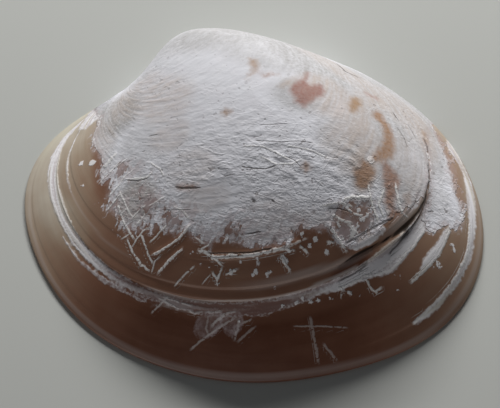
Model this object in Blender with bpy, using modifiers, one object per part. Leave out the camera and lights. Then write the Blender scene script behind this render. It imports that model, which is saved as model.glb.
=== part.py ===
"""The left valve of a chocolate clam, lying on its rim with the outside up.

Run it with: blender --background --python part.py
Metres, +Z up. +X points to the back end of the shell and +Y to its hinge. The origin is on the
surface that the rim rests on, under the middle of the valve.

A clam's shell keeps its shape as it grows: every growth line is a smaller copy of the margin,
turned about the hinge. So the outside is made by growing the margin back to the beak.
"""

import math

import bmesh
import bpy
from mathutils import Matrix, Vector

# Outline of the margin: distance from MIDDLE every 22.5 degrees, anticlockwise from the back end
MIDDLE = Vector((-0.0012, 0.0012))
MARGIN_RADII = (
    0.0405, 0.0367, 0.0333, 0.0312, 0.0303, 0.0314, 0.0313, 0.0361,
    0.0387, 0.0372, 0.0353, 0.0337, 0.0336, 0.0352, 0.0394, 0.0424,
)

# Growth rule: how each older growth line lies against the margin
BEAK = Vector((-0.0133, 0.0312))
HINGE_TURN = math.radians(32.9)
COIL = 1.11
COIL_EASE = 0.31
NARROWING = 0.213
NARROWING_EASE = 0.6
TWIST = 0.263
TWIST_EASE = 1.2
LEAN = -0.0029

# Rim
RIM_ROUND = 0.0005
RIM_FOOT_INSET = 0.00035
RIM_MIDDLE_INSET = 0.0001
RIM_MIDDLE_HEIGHT = 0.0002

# Ledges where growth stopped for a while, as shares of the full size
MAIN_LEDGE = 0.835
MAIN_LEDGE_SWING = 0.010
MAIN_LEDGE_SWING_AT = math.radians(235)
MAIN_LEDGE_DIP = 0.009
MAIN_LEDGE_DIP_AT = math.radians(322)
MAIN_LEDGE_DIP_SPREAD = math.radians(17)
MAIN_LEDGE_DROP = 0.0005
DEEP_LEDGE_DROP = 0.0007
DEEP_LEDGE_AT = math.radians(338)
DEEP_LEDGE_SPREAD = math.radians(34)
UNDERCUT = 0.007
UPPER_LIP = 0.812
UPPER_LIP_DROP = 0.00025
MINOR_LEDGE = 0.756
MINOR_LEDGE_DROP = 0.00018
OUTER_LEDGE = 0.965
OUTER_LEDGE_DROP = 0.00022
HINGE_SIDE_MIDDLE = math.radians(84)
HINGE_SIDE_HALF = math.radians(62)
HINGE_SIDE_FADE = math.radians(16)
CARRIED_FROM = 0.4

# Inside
HOLLOW_SCALE = 0.914
HOLLOW_FLARE = 0.024
HOLLOW_FLARE_FROM = 0.88
HOLLOW_CENTRE = Vector((0.0, -0.0008, -0.0004))
CUT_BELOW_RIM = 0.001
HINGE_PLATE_LOW = 0.0014
HINGE_PLATE_HIGH = 0.0044
HINGE_PLATE_FRONT = Vector((-0.0330, 0.0100))
HINGE_PLATE_BACK = Vector((0.0290, 0.0145))
HINGE_PLATE_ARCH = 0.0096
HINGE_PLATE_STEPS = 14
HINGE_PLATE_ROUNDING = 0.0008
BEHIND_HINGE = (Vector((0.0400, 0.0400)), Vector((-0.0430, 0.0400)))
TOOTH_ROOT = 0.0022
TEETH = (
    # name, start, end, width, height of the tip above the rim's plane
    ("front_cardinal_tooth", (-0.0158, 0.0256), (-0.0196, 0.0208), 0.0011, 0.0004),
    ("middle_cardinal_tooth", (-0.0132, 0.0262), (-0.0128, 0.0206), 0.0020, 0.0003),
    ("rear_cardinal_tooth", (-0.0104, 0.0268), (-0.0030, 0.0236), 0.0012, 0.0004),
    ("front_lateral_tooth", (-0.0218, 0.0186), (-0.0262, 0.0158), 0.0017, 0.0004),
    ("ligament_ridge", (-0.0060, 0.0280), (0.0140, 0.0260), 0.0012, 0.0007),
)

# Fineness of the facets
SIDES = 84
HOLLOW_SIDES = 60
LEDGE_RINGS = (
    # size, share of the main ledge's drop, drop of a small ledge, share of the undercut
    (1.000, 0.00, 0, 0),
    (0.984, 0.00, 0, 0),
    (OUTER_LEDGE + 0.004, 0.00, OUTER_LEDGE_DROP, 0),
    (OUTER_LEDGE - 0.002, 0.00, 0, 0),
    (0.930, 0.12, 0, 0),
    (0.895, 0.30, 0, 0),
    (0.866, 0.60, 0, 0),
    (0.848, 0.90, 0, 0),
    (MAIN_LEDGE + 0.005, 1.00, 0, 0),
    (MAIN_LEDGE + 0.001, 1.00, 0, 1),
    (MAIN_LEDGE, 0.25, 0, 0),
    (MAIN_LEDGE - 0.005, 0.00, 0, 0),
    (UPPER_LIP + 0.005, 0.00, UPPER_LIP_DROP, 0),
    (UPPER_LIP, 0.00, 0.8 * UPPER_LIP_DROP, 0),
    (UPPER_LIP - 0.005, 0.00, 0, 0),
    (0.782, 0.00, 0, 0),
    (MINOR_LEDGE + 0.004, 0.00, MINOR_LEDGE_DROP, 0),
    (MINOR_LEDGE - 0.003, 0.00, 0, 0),
)
SMOOTH_RINGS = (
    0.716, 0.672, 0.624, 0.574, 0.522, 0.470, 0.418, 0.366,
    0.314, 0.262, 0.212, 0.164, 0.120, 0.080, 0.050, 0.030,
)
HOLLOW_RINGS = (
    1.000, 0.985, 0.950, 0.900, 0.840, 0.770, 0.690, 0.600, 0.510, 0.420, 0.330, 0.240, 0.170,
)


def margin_radius(angle):
    """The smooth closed curve through the radii, as a sum of waves round the outline."""
    count = len(MARGIN_RADII)
    radius = sum(MARGIN_RADII) / count
    for wave in range(1, count // 2 + 1):
        share = (1 if wave == count // 2 else 2) / count
        for index, known in enumerate(MARGIN_RADII):
            radius += share * known * math.cos(wave * (angle - 2 * math.pi * index / count))
    return radius


def grown(angle, size):
    """The point of the growth line of that size, from the beak (0) to the margin (1)."""
    to_margin = MIDDLE + margin_radius(angle) * Vector((math.cos(angle), math.sin(angle))) - BEAK
    along_hinge = Vector((math.cos(HINGE_TURN), math.sin(HINGE_TURN)))
    from_hinge = Vector((-math.sin(HINGE_TURN), math.cos(HINGE_TURN)))
    along, across = to_margin @ along_hinge, to_margin @ from_hinge
    age = math.log(1 / size)
    twist = TWIST * age / (1 + TWIST_EASE * age)
    along, across = (
        along * math.cos(twist) - across * math.sin(twist),
        along * math.sin(twist) + across * math.cos(twist),
    )
    along = size * along * math.exp(-NARROWING * age / (1 + NARROWING_EASE * age)) + LEAN * size * (1 - size)
    across = size * across
    coil = COIL * age / (1 + COIL_EASE * age)
    flat = BEAK + along * along_hinge + across * math.cos(coil) * from_hinge
    return Vector((flat.x, flat.y, RIM_ROUND - across * math.sin(coil)))


def outward(angle, size, step=0.0005):
    """The direction that faces away from the shell there."""
    round_it = grown(angle + step, size) - grown(angle - step, size)
    along_growth = grown(angle, size * (1 + step)) - grown(angle, size * (1 - step))
    return along_growth.cross(round_it).normalized()


def bell(angle, centre, spread):
    """1 at the centre angle, fading to 0 on both sides."""
    away = math.remainder(angle - centre, 2 * math.pi)
    return math.exp(-((away / spread) ** 2))


def main_ledge(angle):
    """The size at which the main ledge lies: it dips at the lower back corner."""
    swing = MAIN_LEDGE_SWING * math.cos(angle - MAIN_LEDGE_SWING_AT)
    return MAIN_LEDGE + swing - MAIN_LEDGE_DIP * bell(angle, MAIN_LEDGE_DIP_AT, MAIN_LEDGE_DIP_SPREAD)


def carried(angle, size):
    """The size of a growth line there: the lines on both sides of the main ledge follow its bends."""
    end = 1 if size > MAIN_LEDGE else CARRIED_FROM
    return size + (main_ledge(angle) - MAIN_LEDGE) * max(0.0, (size - end) / (MAIN_LEDGE - end))


def free_side(angle):
    """1 along the free margin, fading to 0 along the hinge, where the growth lines run together."""
    away = abs(math.remainder(angle - HINGE_SIDE_MIDDLE, 2 * math.pi))
    share = min(1.0, max(0.0, (away - HINGE_SIDE_HALF) / HINGE_SIDE_FADE))
    return share * share * (3 - 2 * share)


def ledge_drop(angle):
    """How far the shell outside the main ledge lies below its edge."""
    deep = DEEP_LEDGE_DROP * bell(angle, DEEP_LEDGE_AT, DEEP_LEDGE_SPREAD)
    return free_side(angle) * (MAIN_LEDGE_DROP + deep)


def outside_point(angle, size, drop=0.0):
    """A point of the outside, some way below the plain growth form."""
    size = carried(angle, size)
    return grown(angle, size) - drop * outward(angle, size)


def rim_point(angle, inset, height):
    """A point of the rounded foot of the rim."""
    edge = grown(angle, 1)
    return Vector((edge.x - inset * math.cos(angle), edge.y - inset * math.sin(angle), height))


def outside_rings():
    """Every ring of the outside, from the foot of the rim to the beak, as a function of the angle."""
    yield lambda angle: rim_point(angle, RIM_FOOT_INSET, 0)
    yield lambda angle: rim_point(angle, RIM_MIDDLE_INSET, RIM_MIDDLE_HEIGHT)
    for size, main_share, small_drop, cut_share in LEDGE_RINGS:

        def at_ledge(angle, size=size, main_share=main_share, small_drop=small_drop, cut_share=cut_share):
            cut = cut_share * UNDERCUT * bell(angle, DEEP_LEDGE_AT, DEEP_LEDGE_SPREAD)
            drop = main_share * ledge_drop(angle) + small_drop * free_side(angle)
            return outside_point(angle, size - cut, drop)

        yield at_ledge
    for size in SMOOTH_RINGS:
        yield lambda angle, size=size: outside_point(angle, size)


def hollow_point(angle, size):
    """The hollow is the plain growth form, a little smaller, flared where the wall thins to the free rim."""
    near_rim = max(0.0, (size - HOLLOW_FLARE_FROM) / (1 - HOLLOW_FLARE_FROM))
    scale = HOLLOW_SCALE + HOLLOW_FLARE * free_side(angle) * near_rim**2
    return HOLLOW_CENTRE + scale * (grown(angle, size) - HOLLOW_CENTRE)


def hollow_rings():
    """The rings of the hollow, from under the rim up to its roof."""

    def below_rim(angle):
        point = hollow_point(angle, 1)
        return Vector((point.x, point.y, -CUT_BELOW_RIM))

    yield below_rim
    for size in HOLLOW_RINGS:
        yield lambda angle, size=size: hollow_point(angle, size)


def collection(name):
    made = bpy.data.collections.new(name)
    bpy.context.scene.collection.children.link(made)
    return made


def add_object(name, bm, into):
    """Closes a bmesh off as a named object, with its faces pointing out."""
    bmesh.ops.recalc_face_normals(bm, faces=bm.faces)
    mesh = bpy.data.meshes.new(name)
    bm.to_mesh(mesh)
    bm.free()
    made = bpy.data.objects.new(name, mesh)
    into.objects.link(made)
    return made


def hide_cutter(cutter):
    cutter.hide_render = True
    cutter.display_type = "WIRE"
    return cutter


def grow(name, sides, rings, into):
    """Extrudes a circle from ring to ring, closed below by a flat face and at the beak by a fan of faces."""
    bm = bmesh.new()
    number = bm.verts.layers.int.new("number")
    ring = bmesh.ops.create_circle(bm, segments=sides, radius=1)["verts"]
    for index, vert in enumerate(ring):
        vert[number] = index
    edges = list(bm.edges)
    for level, place in enumerate(rings):
        if level == 1:
            bmesh.ops.contextual_create(bm, geom=edges)
        if level:
            extruded = bmesh.ops.extrude_edge_only(bm, edges=edges)["geom"]
            ring = [item for item in extruded if isinstance(item, bmesh.types.BMVert)]
            edges = [item for item in extruded if isinstance(item, bmesh.types.BMEdge)]
        for vert in ring:
            vert.co = place(2 * math.pi * vert[number] / sides)
    cap = bmesh.ops.contextual_create(bm, geom=edges)["faces"]
    bmesh.ops.poke(bm, faces=cap)
    return add_object(name, bm, into)


def hinge_block(into):
    """The space that the hinge plate keeps: a flat slab with a rounded free edge."""
    bm = bmesh.new()
    outline = []
    for step in range(HINGE_PLATE_STEPS + 1):
        share = step / HINGE_PLATE_STEPS
        straight = HINGE_PLATE_FRONT.lerp(HINGE_PLATE_BACK, share)
        outline.append(straight + Vector((0, 4 * HINGE_PLATE_ARCH * share * (1 - share))))
    outline.extend(BEHIND_HINGE)
    face = bm.faces.new([bm.verts.new((*point, HINGE_PLATE_LOW)) for point in outline])
    top = bmesh.ops.extrude_face_region(bm, geom=[face])["geom"]
    lift = Vector((0, 0, HINGE_PLATE_HIGH - HINGE_PLATE_LOW))
    bmesh.ops.translate(bm, verts=[item for item in top if isinstance(item, bmesh.types.BMVert)], vec=lift)
    block = hide_cutter(add_object("hinge_block", bm, into))
    bevel = block.modifiers.new("rounded_edge", "BEVEL")
    bevel.width = HINGE_PLATE_ROUNDING
    bevel.segments = 2
    bevel.limit_method = "ANGLE"
    bevel.angle_limit = math.radians(60)
    return block


def tooth(name, start, end, width, tip, into):
    """A ridge on the hinge plate from start to end, tapered towards its tip."""
    start, end = Vector(start), Vector(end)
    run = end - start
    bm = bmesh.new()
    verts = bmesh.ops.create_cube(bm, size=1)["verts"]
    for vert in verts:
        low = vert.co.z < 0
        across = vert.co.y * width * (0.45 if low else 1.2)
        along = vert.co.x * run.length * (0.86 if low else 1.0)
        vert.co = Vector((along, across, tip if low else TOOTH_ROOT))
    turn = math.atan2(run.y, run.x)
    bmesh.ops.rotate(bm, verts=verts, cent=(0, 0, 0), matrix=Matrix.Rotation(turn, 3, "Z"))
    middle = (start + end) / 2
    bmesh.ops.translate(bm, verts=verts, vec=(middle.x, middle.y, 0))
    return hide_cutter(add_object(name, bm, into))


def boolean(target, operation, other):
    modifier = target.modifiers.new(other.name, "BOOLEAN")
    modifier.operation = operation
    modifier.solver = "EXACT"
    modifier.object = other


def shell_material():
    material = bpy.data.materials.new("worn_brown_shell")
    material.use_nodes = True
    shader = material.node_tree.nodes["Principled BSDF"]
    shader.inputs["Base Color"].default_value = (0.33, 0.25, 0.215, 1)
    shader.inputs["Roughness"].default_value = 0.42
    shader.inputs["Metallic"].default_value = 0.0
    return material


def build():
    for old in list(bpy.data.objects):
        bpy.data.objects.remove(old)
    parts = collection("chocolate_clam_valve")
    cutters = collection("cutters")

    valve = grow("left_valve", SIDES, outside_rings(), parts)
    hollow = hide_cutter(grow("hollow", HOLLOW_SIDES, hollow_rings(), cutters))
    boolean(hollow, "DIFFERENCE", hinge_block(cutters))
    boolean(valve, "DIFFERENCE", hollow)

    for name, start, end, width, tip in TEETH:
        boolean(valve, "UNION", tooth(name, start, end, width, tip, cutters))

    valve.data.materials.append(shell_material())
    valve.data.shade_smooth()
    valve.data.set_sharp_from_angle(angle=math.radians(40))


build()
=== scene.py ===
# %% [markdown]
# # A worn chocolate clam valve
# One half of a clam's shell lies on its rim with the outside up. The shell was brown and glossy,
# and surf and sand have rubbed its top down to white chalk. This lesson dresses the plain solid of
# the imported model: first the growth form, then the relief of wear, then the finishes and the light.

# %% Load the plain model
import math

import bmesh
import bpy
import numpy as np
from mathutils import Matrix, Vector, noise


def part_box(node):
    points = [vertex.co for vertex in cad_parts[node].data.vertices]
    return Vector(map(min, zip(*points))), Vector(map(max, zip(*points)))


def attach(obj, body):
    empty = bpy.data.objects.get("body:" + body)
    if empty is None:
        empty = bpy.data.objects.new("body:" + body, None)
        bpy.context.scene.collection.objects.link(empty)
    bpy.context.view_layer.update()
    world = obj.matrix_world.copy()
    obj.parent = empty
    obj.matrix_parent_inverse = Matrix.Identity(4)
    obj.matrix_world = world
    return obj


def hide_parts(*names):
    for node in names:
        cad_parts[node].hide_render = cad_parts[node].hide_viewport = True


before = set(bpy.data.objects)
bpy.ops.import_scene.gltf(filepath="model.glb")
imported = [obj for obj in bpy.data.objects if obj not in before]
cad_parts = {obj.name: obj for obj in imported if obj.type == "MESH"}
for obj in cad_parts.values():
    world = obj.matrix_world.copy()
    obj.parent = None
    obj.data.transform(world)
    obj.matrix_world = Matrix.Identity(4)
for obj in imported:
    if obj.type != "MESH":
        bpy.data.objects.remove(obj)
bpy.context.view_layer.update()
low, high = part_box("left_valve")
print("plain valve, mm:", [round(1000 * side, 1) for side in high - low])

# %% [markdown]
# ## The growth rule
# A clam adds shell along its margin and keeps its shape, so every growth line is a smaller copy of
# the margin, moved towards the beak and curled up about the hinge. A sculpted surface could be
# drawn by hand, but the rule gives each growth line its true place, and every ledge, stain and
# ridge can then follow the lines. Lengths here are in millimetres, turns in radians from the back
# end, and a size of 1 is the margin.

# %% Shape of the margin and of its growth
MIDDLE = np.array([-1.2, 1.2])
MARGIN_RADII = np.array([
    40.5, 36.7, 33.3, 31.2, 30.3, 31.4, 31.3, 36.1, 38.7, 37.2, 35.3, 33.7, 33.6, 35.2, 39.4, 42.4,
])
BEAK = np.array([-13.3, 31.2])
HINGE_TURN = math.radians(32.9)
COIL, COIL_EASE = 1.11, 0.31
NARROWING, NARROWING_EASE = 0.213, 0.6
TWIST, TWIST_EASE = 0.263, 1.2
LEAN = -2.9
RIM_ROUND = 0.5


def margin_radius(turn):
    """The smooth closed curve through the radii, as a sum of waves round the outline."""
    count = len(MARGIN_RADII)
    known = 2 * math.pi * np.arange(count) / count
    radius = np.full_like(turn, MARGIN_RADII.mean())
    for wave in range(1, count // 2 + 1):
        share = (1 if wave == count // 2 else 2) / count
        radius += share * (MARGIN_RADII @ np.cos(wave * known)) * np.cos(wave * turn)
        radius += share * (MARGIN_RADII @ np.sin(wave * known)) * np.sin(wave * turn)
    return radius


def grown(turn, size):
    """The point of each growth line at each turn."""
    turn, size = np.broadcast_arrays(np.asarray(turn, float), np.asarray(size, float))
    radius = margin_radius(turn)
    from_beak_x = MIDDLE[0] + radius * np.cos(turn) - BEAK[0]
    from_beak_y = MIDDLE[1] + radius * np.sin(turn) - BEAK[1]
    hinge = np.array([math.cos(HINGE_TURN), math.sin(HINGE_TURN)])
    along = from_beak_x * hinge[0] + from_beak_y * hinge[1]
    across = from_beak_y * hinge[0] - from_beak_x * hinge[1]
    age = np.log(1 / size)
    twist = TWIST * age / (1 + TWIST_EASE * age)
    along, across = (
        along * np.cos(twist) - across * np.sin(twist),
        along * np.sin(twist) + across * np.cos(twist),
    )
    along = size * along * np.exp(-NARROWING * age / (1 + NARROWING_EASE * age))
    along = along + LEAN * size * (1 - size)
    across = size * across
    coil = COIL * age / (1 + COIL_EASE * age)
    flat = across * np.cos(coil)
    return np.stack([
        BEAK[0] + along * hinge[0] - flat * hinge[1],
        BEAK[1] + along * hinge[1] + flat * hinge[0],
        RIM_ROUND - across * np.sin(coil),
    ], axis=-1)


def outward(turn, size, step=0.0005):
    """The direction that faces away from the shell there."""
    round_it = grown(turn + step, size) - grown(turn - step, size)
    along_growth = grown(turn, size * (1 + step)) - grown(turn, size * (1 - step))
    facing = np.cross(along_growth, round_it)
    return facing / np.linalg.norm(facing, axis=-1, keepdims=True)


# %% [markdown]
# ## Ledges
# Growth stopped a few times, and each stop left a step that runs all round the free margin. The
# main one is deep at the back, where the older shell overhangs the newer. The plain solid has the
# same steps. Here they get finer rings, so that their edges can be rounded and undercut, and the
# small ones fade along the margin as they do on the real valve.

# %% Place and height of the ledges
MAIN_LEDGE = 0.835
MAIN_LEDGE_SWING, MAIN_LEDGE_SWING_AT = 0.010, math.radians(235)
MAIN_LEDGE_DIP, MAIN_LEDGE_DIP_AT = 0.009, math.radians(322)
MAIN_LEDGE_DIP_SPREAD = math.radians(17)
MAIN_LEDGE_DROP, DEEP_LEDGE_DROP = 0.5, 0.7
DEEP_LEDGE_AT, DEEP_LEDGE_SPREAD = math.radians(338), math.radians(34)
SHALLOW_LEDGE = 0.30
SHALLOW_LEDGE_AT, SHALLOW_LEDGE_SPREAD = math.radians(190), math.radians(48)
UNDERCUT = 0.007
HINGE_SIDE_MIDDLE, HINGE_SIDE_HALF = math.radians(84), math.radians(62)
HINGE_SIDE_FADE = math.radians(16)
CARRIED_FROM = 0.4

# size, share of the main ledge's drop, share of the undercut
MAIN_STEP = np.array([
    (0.000, 0.00, 0.0), (0.8290, 0.00, 0.0), (0.8320, 0.04, 0.0), (0.8340, 0.14, 0.0),
    (0.8350, 0.34, 0.1), (0.8354, 0.62, 0.7), (0.8362, 0.95, 1.0), (0.8374, 1.04, 0.7),
    (0.8390, 1.02, 0.1), (0.8410, 1.00, 0.0), (0.8480, 0.90, 0.0), (0.8660, 0.60, 0.0),
    (0.8950, 0.30, 0.0), (0.9300, 0.12, 0.0), (0.9840, 0.00, 0.0), (2.0000, 0.00, 0.0),
])
# size and drop in mm of each small step, then in degrees where it shows and how strongly
SMALL_STEPS = [
    (np.array([(0.7420, 0.00), (0.7530, 0.00), (0.7545, 0.05), (0.7560, 0.14), (0.7575, 0.18),
               (0.7820, 0.00)]),
     np.array([(150, 0.1), (172, 0.45), (200, 0.2), (246, 0.1), (258, 0.6), (286, 0.5),
               (298, 0.1), (345, 0.1)])),
    (np.array([(0.8070, 0.00), (0.8095, 0.04), (0.8115, 0.16), (0.8130, 0.24), (0.8150, 0.25),
               (0.8300, 0.00)]),
     np.array([(150, 0.0), (205, 0.1), (240, 0.55), (262, 1.0), (325, 1.0), (342, 0.2),
               (360, 0.1)])),
    (np.array([(0.9610, 0.00), (0.9635, 0.03), (0.9655, 0.15), (0.9675, 0.22), (0.9840, 0.00)]),
     np.array([(20, 0.6), (45, 0.0), (150, 0.0), (180, 0.25), (205, 0.1), (300, 0.0),
               (318, 1.0), (360, 1.0)])),
]


def bell(turn, centre, spread):
    """1 at the centre, fading to 0 on both sides."""
    away = np.remainder(turn - centre + math.pi, 2 * math.pi) - math.pi
    return np.exp(-((away / spread) ** 2))


def smooth_share(value, low, high):
    """0 below low, 1 above high, and an easy curve between."""
    share = np.clip((value - low) / (high - low), 0, 1)
    return share * share * (3 - 2 * share)


def main_ledge(turn):
    """The size at which the main ledge lies."""
    swing = MAIN_LEDGE_SWING * np.cos(turn - MAIN_LEDGE_SWING_AT)
    dip = MAIN_LEDGE_DIP * bell(turn, MAIN_LEDGE_DIP_AT, MAIN_LEDGE_DIP_SPREAD)
    return MAIN_LEDGE + swing - dip


def carried(turn, size):
    """The lines on both sides of the main ledge follow its bends."""
    end = np.where(size > MAIN_LEDGE, 1, CARRIED_FROM)
    share = np.clip((size - end) / (MAIN_LEDGE - end), 0, None)
    return size + (main_ledge(turn) - MAIN_LEDGE) * share


def free_side(turn):
    """1 along the free margin and 0 along the hinge, where the growth lines run together."""
    away = np.abs(np.remainder(turn - HINGE_SIDE_MIDDLE + math.pi, 2 * math.pi) - math.pi)
    return smooth_share(away, HINGE_SIDE_HALF, HINGE_SIDE_HALF + HINGE_SIDE_FADE)


def ledge_drop(turn, size):
    """How far the surface lies below the plain growth form, for all the ledges together."""
    drop = MAIN_LEDGE_DROP + DEEP_LEDGE_DROP * bell(turn, DEEP_LEDGE_AT, DEEP_LEDGE_SPREAD)
    drop = drop - SHALLOW_LEDGE * bell(turn, SHALLOW_LEDGE_AT, SHALLOW_LEDGE_SPREAD)
    main = drop * np.interp(size, MAIN_STEP[:, 0], MAIN_STEP[:, 1])
    degrees = np.degrees(turn) % 360
    for profile, strength in SMALL_STEPS:
        share = np.interp(degrees, strength[:, 0], strength[:, 1], period=360)
        main = main + share * np.interp(size, profile[:, 0], profile[:, 1])
    return free_side(turn) * main


def undercut_size(turn, size):
    """The size of the growth line, tucked in under the main ledge where that overhangs."""
    cut = np.interp(size, MAIN_STEP[:, 0], MAIN_STEP[:, 2])
    return carried(turn, size - cut * UNDERCUT * bell(turn, DEEP_LEDGE_AT, DEEP_LEDGE_SPREAD))


# %% [markdown]
# ## How close the rings lie
# A ring every 0.4 mm shows wear, and a step needs rings every tenth of a millimetre. So the rings
# crowd at each ledge and spread out between them, which keeps the piece under its limit of faces.

# %% Sizes of the rings
COLUMNS = 480
SEAM = math.radians(95)
HALVED_FROM, QUARTERED_FROM, BEAK_SIZE = 0.45, 0.20, 0.03
PLAIN_STEP, HALVED_STEP, QUARTERED_STEP = 0.0056, 0.008, 0.010


def ring_sizes():
    """Every ring of the outside from the margin to the beak."""
    small = [profile[:, 0] for profile, _ in SMALL_STEPS]
    fixed = np.concatenate([MAIN_STEP[1:-1, 0], *small, [1.0]])
    fixed = np.unique(np.round(fixed, 5))[::-1]
    sizes = []
    for upper, lower in zip(fixed[:-1], fixed[1:]):
        count = max(1, round((upper - lower) / PLAIN_STEP))
        sizes.extend(np.linspace(upper, lower, count, endpoint=False))
    size = fixed[-1]
    while size > BEAK_SIZE:
        sizes.append(size)
        if size > HALVED_FROM:
            size -= PLAIN_STEP
        else:
            size -= HALVED_STEP if size > QUARTERED_FROM else QUARTERED_STEP
    sizes.append(BEAK_SIZE)
    return np.array(sizes)


RING_SIZES = ring_sizes()
# inset from the margin and height of the rings that round the foot of the rim
FOOT = np.array([(0.35, 0.0), (0.22, 0.05), (0.10, 0.2), (0.02, 0.36)])
print("rings of the outside:", len(RING_SIZES))

# %% [markdown]
# ## Growing the outside
# The mesh grows as the shell did, only backwards: a circle for the foot of the rim is extruded ring
# by ring towards the beak. Each vertex remembers its column and its ring. Near the beak the rings
# are short, so every second column is welded to its neighbour there, and again further in.

# %% Extrude the rings
def extruded_rings(bm, columns, rings):
    """A tube of rings, in which each vertex knows its column and ring."""
    column = bm.verts.layers.int.new("column")
    ring = bm.verts.layers.int.new("ring")
    verts = bmesh.ops.create_circle(bm, segments=columns, radius=1)["verts"]
    for number, vert in enumerate(verts):
        vert[column] = number
    edges = list(bm.edges)
    for number in range(1, rings):
        extruded = bmesh.ops.extrude_edge_only(bm, edges=edges)["geom"]
        edges = [item for item in extruded if isinstance(item, bmesh.types.BMEdge)]
        for item in extruded:
            if isinstance(item, bmesh.types.BMVert):
                item[ring] = number
    return column, ring, edges


def thin_columns(bm, column, ring, first_ring, spacing):
    """Welds every second remaining column to the one before it, from first_ring on."""
    found = {(vert[ring], vert[column]): vert for vert in bm.verts if vert[ring] >= first_ring}
    targets = {
        vert: found[number, place - spacing]
        for (number, place), vert in found.items()
        if place % (2 * spacing)
    }
    bmesh.ops.weld_verts(bm, targetmap=targets)


def ring_edges(bm, ring, number):
    """The edges that run round one open end of the tube."""
    return [
        edge for edge in bm.edges
        if edge.is_boundary and all(vert[ring] == number for vert in edge.verts)
    ]


outside = bmesh.new()
rings = len(FOOT) + len(RING_SIZES)
column_layer, ring_layer, _ = extruded_rings(outside, COLUMNS, rings)
for limit, spacing in ((HALVED_FROM, 1), (QUARTERED_FROM, 2)):
    first = len(FOOT) + int(np.argmax(RING_SIZES < limit))
    thin_columns(outside, column_layer, ring_layer, first, spacing)
last_edges = ring_edges(outside, ring_layer, rings - 1)
beak_cap = bmesh.ops.contextual_create(outside, geom=last_edges)["faces"]
print("outside faces:", len(outside.faces))

# %% Give every vertex its place
def remembered(bm, layer):
    """What the vertices know from that layer."""
    return np.array([vert[layer] for vert in bm.verts])


def round_foot(places, turns, ring_of, rows, side):
    """Moves the rings of the foot in (side -1) or out (side 1), and sets their height."""
    foot = ring_of < len(rows)
    shift, height = rows[np.clip(ring_of, 0, len(rows) - 1)].T
    places[foot, 0] += side * (shift * np.cos(turns))[foot]
    places[foot, 1] += side * (shift * np.sin(turns))[foot]
    places[foot, 2] = height[foot]


def put_at(bm, places):
    """Moves each vertex to its place, given in mm."""
    for vert, place in zip(bm.verts, places):
        vert.co = place / 1000


turns = SEAM + 2 * math.pi * remembered(outside, column_layer) / COLUMNS
ring_of = remembered(outside, ring_layer)
sizes = RING_SIZES[np.clip(ring_of - len(FOOT), 0, None)]
growth_sizes = undercut_size(turns, sizes)
plain = grown(turns, growth_sizes)
facing = outward(turns, growth_sizes)
places = plain - ledge_drop(turns, sizes)[:, None] * facing
round_foot(places, turns, ring_of, FOOT, -1)
print("plain outside, highest point in mm:", round(float(places[:, 2].max()), 2))

# %% [markdown]
# ## Where the brown coat is gone
# Surf and sand have rubbed the brown coat off the high part of the valve, and white chalk shows
# there. Its edge is torn, not smooth. A picture could be laid over the shell, but drawn
# outlines stay sharp at any size: each vertex learns how far it lies inside an outline, and the
# finish frays that edge later with noise. Places are in millimetres, seen from above.

# %% Outlines of the chalk
CHALK = [
    (-26.5, 17.2), (-27.0, 15.6), (-27.5, 13.8), (-27.8, 11.8), (-27.3, 10.0), (-26.2, 8.2),
    (-25.8, 6.6), (-26.2, 5.1), (-25.8, 3.3), (-24.2, 3.5), (-25.3, 2.4), (-24.6, 1.3),
    (-25.0, -0.2), (-24.6, -1.8), (-25.2, -2.5), (-24.3, -3.3), (-23.3, -4.3), (-22.6, -6.1),
    (-21.6, -7.5), (-20.2, -8.0), (-19.5, -7.5), (-18.1, -7.5), (-17.8, -8.6), (-16.4, -8.2),
    (-15.0, -8.2), (-14.4, -9.1), (-13.0, -9.7), (-11.3, -9.4), (-11.0, -10.5), (-10.0, -11.3),
    (-8.6, -11.7), (-7.8, -12.7), (-7.1, -12.0), (-5.9, -11.5), (-4.6, -12.0), (-3.3, -12.3),
    (-1.8, -12.7), (-0.3, -13.3), (1.1, -13.1), (2.4, -13.4), (4.1, -12.8), (5.4, -12.5),
    (6.5, -11.6), (7.5, -11.0), (8.9, -10.7), (10.2, -10.9), (12.2, -10.9), (14.0, -13.0),
    (15.0, -13.8), (17.5, -12.4), (19.8, -11.0), (20.9, -10.0), (21.8, -9.2), (22.9, -8.5),
    (23.8, -8.0), (24.8, -7.3), (25.9, -6.6), (27.3, -5.3), (28.7, -3.8), (29.7, -1.9),
    (30.2, 0.8), (30.6, 4.7), (30.5, 7.6), (31.2, 10.6), (32.0, 13.4), (33.0, 17.0),
    (38.0, 30.0), (0.0, 48.0), (-32.0, 32.0), (-27.6, 20.6),
]
OUTER_CHALK = [
    (31.4, 15.0), (32.8, 12.6), (34.0, 9.6), (34.7, 7.2), (35.2, 4.6), (35.5, 2.2), (35.9, -0.6),
    (36.4, -2.4), (36.2, -3.8), (35.6, -6.4), (34.5, -7.7), (33.5, -7.8), (32.9, -7.1),
    (31.9, -7.9), (30.6, -8.7), (29.4, -8.8), (28.9, -7.6), (29.0, -6.2), (29.8, -4.4),
    (30.4, -1.4), (30.6, 2.5), (30.3, 9.2), (31.0, 14.0),
]
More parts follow.
